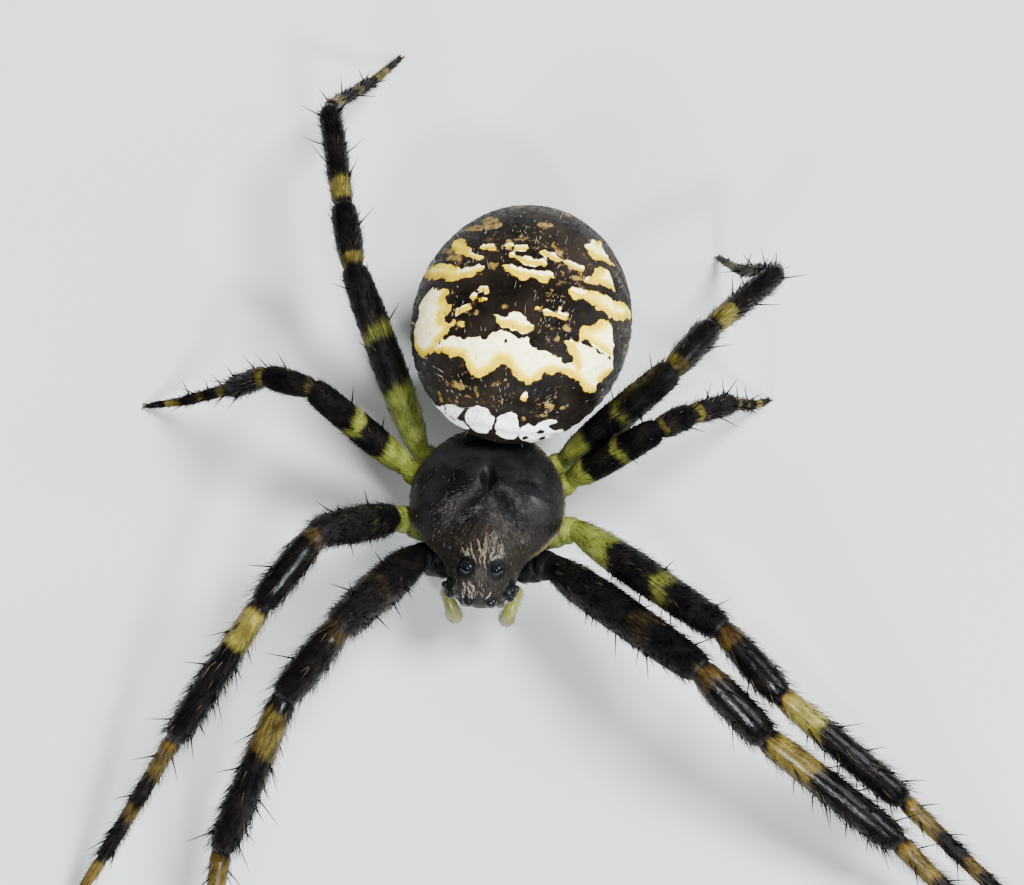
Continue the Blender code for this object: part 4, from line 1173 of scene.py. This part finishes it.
coat = {
    # of one spike: sides, steps, taper, half width in mm and bend towards the skin
    "spikes": {
        "legBristles": (3, 2, 0.8, 0.0055, 0.12), "legSpines": (6, 5, 0.75, 0.016, 0.04),
        "abdomenHairs": (3, 2, 0.8, 0.005, 0.1), "carapaceHairs": (3, 2, 0.8, 0.005, 0.1),
        "mouthHairs": (3, 2, 0.8, 0.006, 0.1),
    },
    "legBristles": {1: 5200, 2: 4800, 3: 2400, 4: 3600},
    "bristleSize": {1: 1.15, 2: 1.1, 3: 0.62, 4: 0.7},
    # bristles along a leg's six segments: girth, how dense they stand, length in mm and lean in degrees
    "girth": (0.27, 0.31, 0.28, 0.26, 0.16, 0.1), "density": (0.35, 1.0, 1.0, 1.15, 1.3, 1.3),
    "bristleLength": (0.13, 0.23, 0.26, 0.28, 0.23, 0.16), "bristleLean": (16, 22, 26, 28, 28, 25),
    # the glossy strip of the patella and tibia, towards the head: turn, half width and share of hairs kept
    "bareStrip": (0.33, 0.46, 0.42),
    # spines: segment, share of its length, turn in degrees; each segment's spines have one length in mm
    "legSpines": ((1, 0.38, 35), (1, 0.57, -40), (1, 0.82, 15), (2, 0.85, 10), (3, 0.23, 50), (3, 0.38, -55),
                  (3, 0.72, -10), (4, 0.155, 50), (4, 0.34, -50), (4, 0.65, 10), (1, 0.68, 75), (1, 0.9, -60),
                  (2, 0.3, -5), (3, 0.5, 88), (3, 0.62, -92), (3, 0.9, 62), (3, 0.9, -68), (4, 0.1, -85),
                  (4, 0.5, 80), (4, 0.86, 55), (4, 0.86, -60), (2, 0.6, 70)),
    "spineLength": {1: 0.5, 2: 0.58, 3: 0.6, 4: 0.5}, "spineSize": {1: 1.04, 2: 0.93, 3: 0.8, 4: 0.85},
    # more spines of the long legs, on the side towards the head, each with its length
    "frontSpines": ((1, 0.33, 96, 0.3), (1, 0.37, 84, 0.3), (1, 0.52, 96, 0.6), (1, 0.72, 98, 0.55),
                    (3, 0.28, 116, 0.34), (3, 0.42, 112, 0.4), (3, 0.55, 116, 0.36), (3, 0.68, 110, 0.4),
                    (3, 0.84, 114, 0.36)),
    "abdomenHairs": 7000, "carapaceHairs": 2600, "browHairs": 26,
    # on the abdomen: share kept on the pale marks, and share of long pale hairs that stand out
    "onMarks": 0.12, "standing": 0.012,
    # hairs along each of the head's wisps: paleness, number, length and looseness both ways
    "wispHairs": {"cream": (0.6, 16, 0.065, (0.005, 0.7)), "patch": (0.42, 26, 0.08, (0.006, 1.6)),
                  "silver": (0.1, 120, 0.1, (0.035, 6.0))},
    # of the feelers and of the fangs' bases: number, paleness, length and direction
    "mouthHairs": {"palp": (140, 0.4, 0.09, (0, -0.4, -1)), "chelicera": (160, 0.15, 0.12, (0, 0, -1))},
    # foot claws: steps along the leg, up and outward, and radii, in mm
    "clawSteps": ((0, 0, 0.022), (0.07, 0.03, 0.037), (0.13, 0, 0.05), (0.15, -0.045, 0.052)),
    "clawRadii": (0.022, 0.018, 0.013, 0.006),
}


def mapsOf(turns, places, start=0.5):
    # places on the unwrap of a round skin, from turns and shares of its length
    return np.stack([turns / (2 * math.pi) + start, places], -1)


def legRoots(read, places, turns, depth):
    # roots on a leg, the way along it, normals and places on the unwrap
    spots, along, top, across, radius = read(places)
    normals = roundAbout(top, across, turns)
    return spots + normals * (radius * depth)[:, None], along, normals, mapsOf(turns, places / 6)


def plantBristles(pair, side, read, material):
    count = coat["legBristles"][pair]
    share = np.array(coat["girth"]) * np.array([1.0, *legs["lengths"][pair]]) * np.array(coat["density"])
    index = chance.choice(6, count, p=share / share.sum())
    places = index + chance.uniform(0.02, 0.98, count)
    turns = chance.uniform(-math.pi, math.pi, count)
    roots, along, normals, maps = legRoots(read, places, turns, 0.97)
    size = np.array(coat["bristleLength"])[index] * chance.uniform(0.6, 1.25, count)
    size *= coat["bristleSize"][pair]
    lean = np.array(coat["bristleLean"])[index] + chance.uniform(-10, 16, count)
    ways = leaning(along, normals, lean, 0.16)
    # nothing reaches under the floor
    size = np.where(roots[:, 2] + ways[:, 2] * size < 0.03, size * 0.35, size)
    keep = roots[:, 2] + ways[:, 2] * size > 0.01
    pale = legTones(pair, side, places, turns)[0]
    keep &= (pale < 0.3) | (chance.uniform(0, 1, count) < 0.5)
    turn, wide, kept = coat["bareStrip"]
    bare = ((index == 2) | (index == 3)) & (np.abs(turns - turn * sides[side]) < wide)
    keep &= ~bare | (chance.uniform(0, 1, count) < kept)
    # bristles on the pale bands are partly pale; the few pale ones scattered everywhere are painted glints
    pale = pale * 0.5 * (chance.uniform(0, 1, count) < 0.5) + 0.35 * (chance.uniform(0, 1, count) < 0.025)
    columns = (roots, ways, normals, size, maps, pale)
    plant(f"legBristles_{pair}_{side}", material, "leg_black", columns, keep)


def plantSpines(pair, side, read, material):
    rows = [(*row, coat["spineLength"][row[0]]) for row in coat["legSpines"]]
    for part, share, turn, length in coat["frontSpines"] if pair < 3 else ():
        rows.append((part, share, turn * sides[side], length))
    part, share, turn, length = np.array(rows).T
    turns = np.radians(turn) + chance.normal(0, 0.08, len(rows))
    roots, along, normals, maps = legRoots(read, part + share, turns, 0.9)
    ways = leaning(along, normals, 52, 0.08)
    size = length * chance.uniform(0.88, 1.08, len(rows)) * coat["spineSize"][pair]
    columns = (roots, ways, normals, size, maps, np.zeros(len(rows)))
    plant(f"legSpines_{pair}_{side}", material, "leg_black", columns, roots[:, 2] + ways[:, 2] * size > 0.1)


def plantLegs(hair, spineBlack, clawBrown):
    for pair, side in legs["pose"]:
        read = legReader(pair, side)
        plantBristles(pair, side, read, hair)
        plantSpines(pair, side, read, spineBlack)
        buildClaws(pair, side, read, clawBrown)


def buildClaws(pair, side, read, material):
    # two curved claws at the tip of each foot
    spot, along, top, across = (values[0] for values in read(np.array([5.97]))[:4])
    claws = []
    for sideways in (-1, 1):
        line = []
        for forward, up, outward in coat["clawSteps"]:
            point = spot + along * forward + top * up + across * sideways * outward
            line.append([point[0], point[1], max(point[2], 0.02)])
        claws.append(tubeSurface(line, coat["clawRadii"]))
    addPiece(f"footClaws_{pair}_{side}", addShapes(bmesh.new(), claws, 10, 16), material, "leg_amber")


def plantAbdomen(hair):
    count = coat["abdomenHairs"]
    heights = chance.uniform(-0.995, 0.995, count)
    turns = chance.uniform(-math.pi, math.pi, count)
    roots = abdomenSurface(heights, turns)
    normals = normalsOf(abdomenSurface, heights, turns)
    fields = abdomenFields(heights, turns)
    onPale = np.maximum(fields["cream"], fields["white"]) > 0
    keep = ~onPale | (chance.uniform(0, 1, count) < coat["onMarks"])
    flow = np.tile(abdomenAxes()[1] * 0.9 - np.array([0, 0, 0.25]), (count, 1))
    stand = chance.uniform(0, 1, count) < coat["standing"]
    ways = leaning(flow, normals, np.where(stand, 50, 10), 0.2)
    size = np.where(stand, chance.uniform(0.16, 0.24, count), chance.uniform(0.05, 0.11, count))
    # whitish hairs stand in loose groups: partly real whitish hairs, partly painted glints
    x, y = roots.T[:2]
    hairAndGlintGroups = np.sin(x * 3.1 + 1.3 * np.sin(y * 2.3)) * np.sin(y * 3.7 + x)
    paleHairAndGlintShare = 0.02 + 0.1 * np.clip(hairAndGlintGroups, 0, 1) + 0.5 * fields["specks"]
    pale = np.where(onPale, 0.3, 0.02) + 0.6 * (chance.uniform(0, 1, count) < paleHairAndGlintShare)
    pale = np.where(stand, 0.6, pale)
    columns = (roots, ways, normals, size, mapsOf(turns, heights / 2 + 0.5), pale)
    plant("abdomenHairs", hair, "abdomen_black", columns, keep)


def wispHairs(line, tone, many, reach, loose):
    # heights, turns, paleness, sizes and directions of the hairs along a wisp
    line = np.array(line, float)
    spread = np.sort(chance.uniform(0, len(line) - 1, many))

    def lineAt(steps):
        return np.stack([np.interp(steps, np.arange(len(line)), column) for column in line.T], -1)

    def skinAt(rows):
        return carapaceSurface(heightsOf(rows[:, 0]), np.radians(rows[:, 1]))

    rows = lineAt(spread) + chance.normal(0, 1, (many, 2)) * np.array(loose)
    aims = skinAt(lineAt(spread + 0.3)) - skinAt(lineAt(spread - 0.3))
    pale = np.clip(tone * (1 + chance.normal(0, 0.3, many)), 0, 1)
    return heightsOf(rows[:, 0]), np.radians(rows[:, 1]), pale, chance.uniform(0.6, 1.1, many) * reach, aims


def plantCarapace(hair):
    # scattered fine hairs, greyer over the middle and the head
    count = coat["carapaceHairs"]
    heights = chance.uniform(-0.97, 0.9, count)
    turns = chance.uniform(-0.1, math.pi + 0.1, count)
    furry = np.exp(-((np.degrees(turns) - 90) / 40) ** 2) * smoothStep(0.3, -0.1, heights)
    pale = 0.02 + 0.11 * (chance.uniform(0, 1, count) < 0.03 + 0.6 * furry)
    aims = np.stack([0.6 * np.cos(turns), -np.ones(count), np.zeros(count)], -1)
    rows = [(heights, turns, pale, chance.uniform(0.05, 0.1, count), aims)]
    for name, (tone, many, reach, loose) in coat["wispHairs"].items():
        for line in wisps[name]:
            # the silver hairs are real; those that run down her left side of the head are made three times
            # paler as a painted highlight
            silverHighlight = 3.0 if name == "silver" and -0.5 < line[0][0] < -0.3 else 1.0
            rows.append(wispHairs(line, tone * silverHighlight, many, reach, loose))
    # whitish hairs that point forward over the brow
    many = coat["browHairs"]
    rows.append((-chance.uniform(0.78, 0.93, many), np.radians(chance.normal(106, 13, many)),
                 np.clip(chance.normal(0.36, 0.18, many), 0, 1), chance.uniform(0.08, 0.15, many),
                 np.tile([0.0, -1.0, 0.0], (many, 1))))
    heights, turns, pale, size, aims = (np.concatenate(column) for column in zip(*rows))
    roots = carapaceSurface(heights, turns)
    normals = normalsOf(carapaceSurface, heights, turns)
    # none on the eyes and few in the furrows
    clear = (grooveDepth(roots[:, 0], roots[:, 1]) < 0.06) | (chance.uniform(0, 1, len(roots)) < 0.3)
    for spot, radius in eyePlaces().values():
        clear &= np.linalg.norm(roots - spot, axis=1) > radius * 1.35
    ways = leaning(aims, normals, 14, 0.22)
    columns = (roots, ways, normals, size, mapsOf(turns, heights / 2 + 0.5, 0.25), pale)
    plant("carapaceHairs", hair, "black_shell", columns, clear)


def plantMouth(hair):
    rows = []
    for sign in sides.values():
        for part, (count, tone, length, aim) in coat["mouthHairs"].items():
            surface = partSurface(part, sign)
            heights = chance.uniform(-0.9, 0.9, count)
            turns = chance.uniform(-math.pi, math.pi, count)
            normals = normalsOf(surface, heights, turns)
            ways = leaning(np.tile(np.array(aim, float), (count, 1)), normals, 38, 0.2)
            size = chance.uniform(0.6, 1.2, count) * length
            maps = mapsOf(turns, heights / 2 + 0.5) * 0.45 + 0.5 * (len(rows) % 2)
            pale = np.clip(chance.normal(tone, 0.15, count), 0, 1)
            rows.append((surface(heights, turns), ways, normals, size, maps, pale))
    plant("mouthHairs", hair, "black_shell", [np.concatenate(column) for column in zip(*rows)])


addCamera()
addStudio()
print("stage: camera, lights and floor")
buildCephalothorax(carapaceMaterial())
buildEyes(eyeMaterial())
buildMouth()
print("stage: cephalothorax, eyes and mouth")
buildAbdomen(abdomenMaterial())
buildSpinnerets()
print("stage: abdomen")
buildLegs()
print("stage: legs")
bodyHair = hairMaterial("bodyHair", (0.004, 0.0035, 0.0035), (0.5, 0.44, 0.37))
legHair = hairMaterial("legHair", (0.0016, 0.0015, 0.0016), (0.3, 0.24, 0.14))
spineBlack = hairMaterial("spineBlack", (0.002, 0.002, 0.002), (0.2, 0.15, 0.1), 0.3)
plantLegs(legHair, spineBlack, partMaterial("clawBrown"))
plantAbdomen(bodyHair)
plantCarapace(bodyHair)
plantMouth(bodyHair)
print("stage: hairs, bristles and spines")
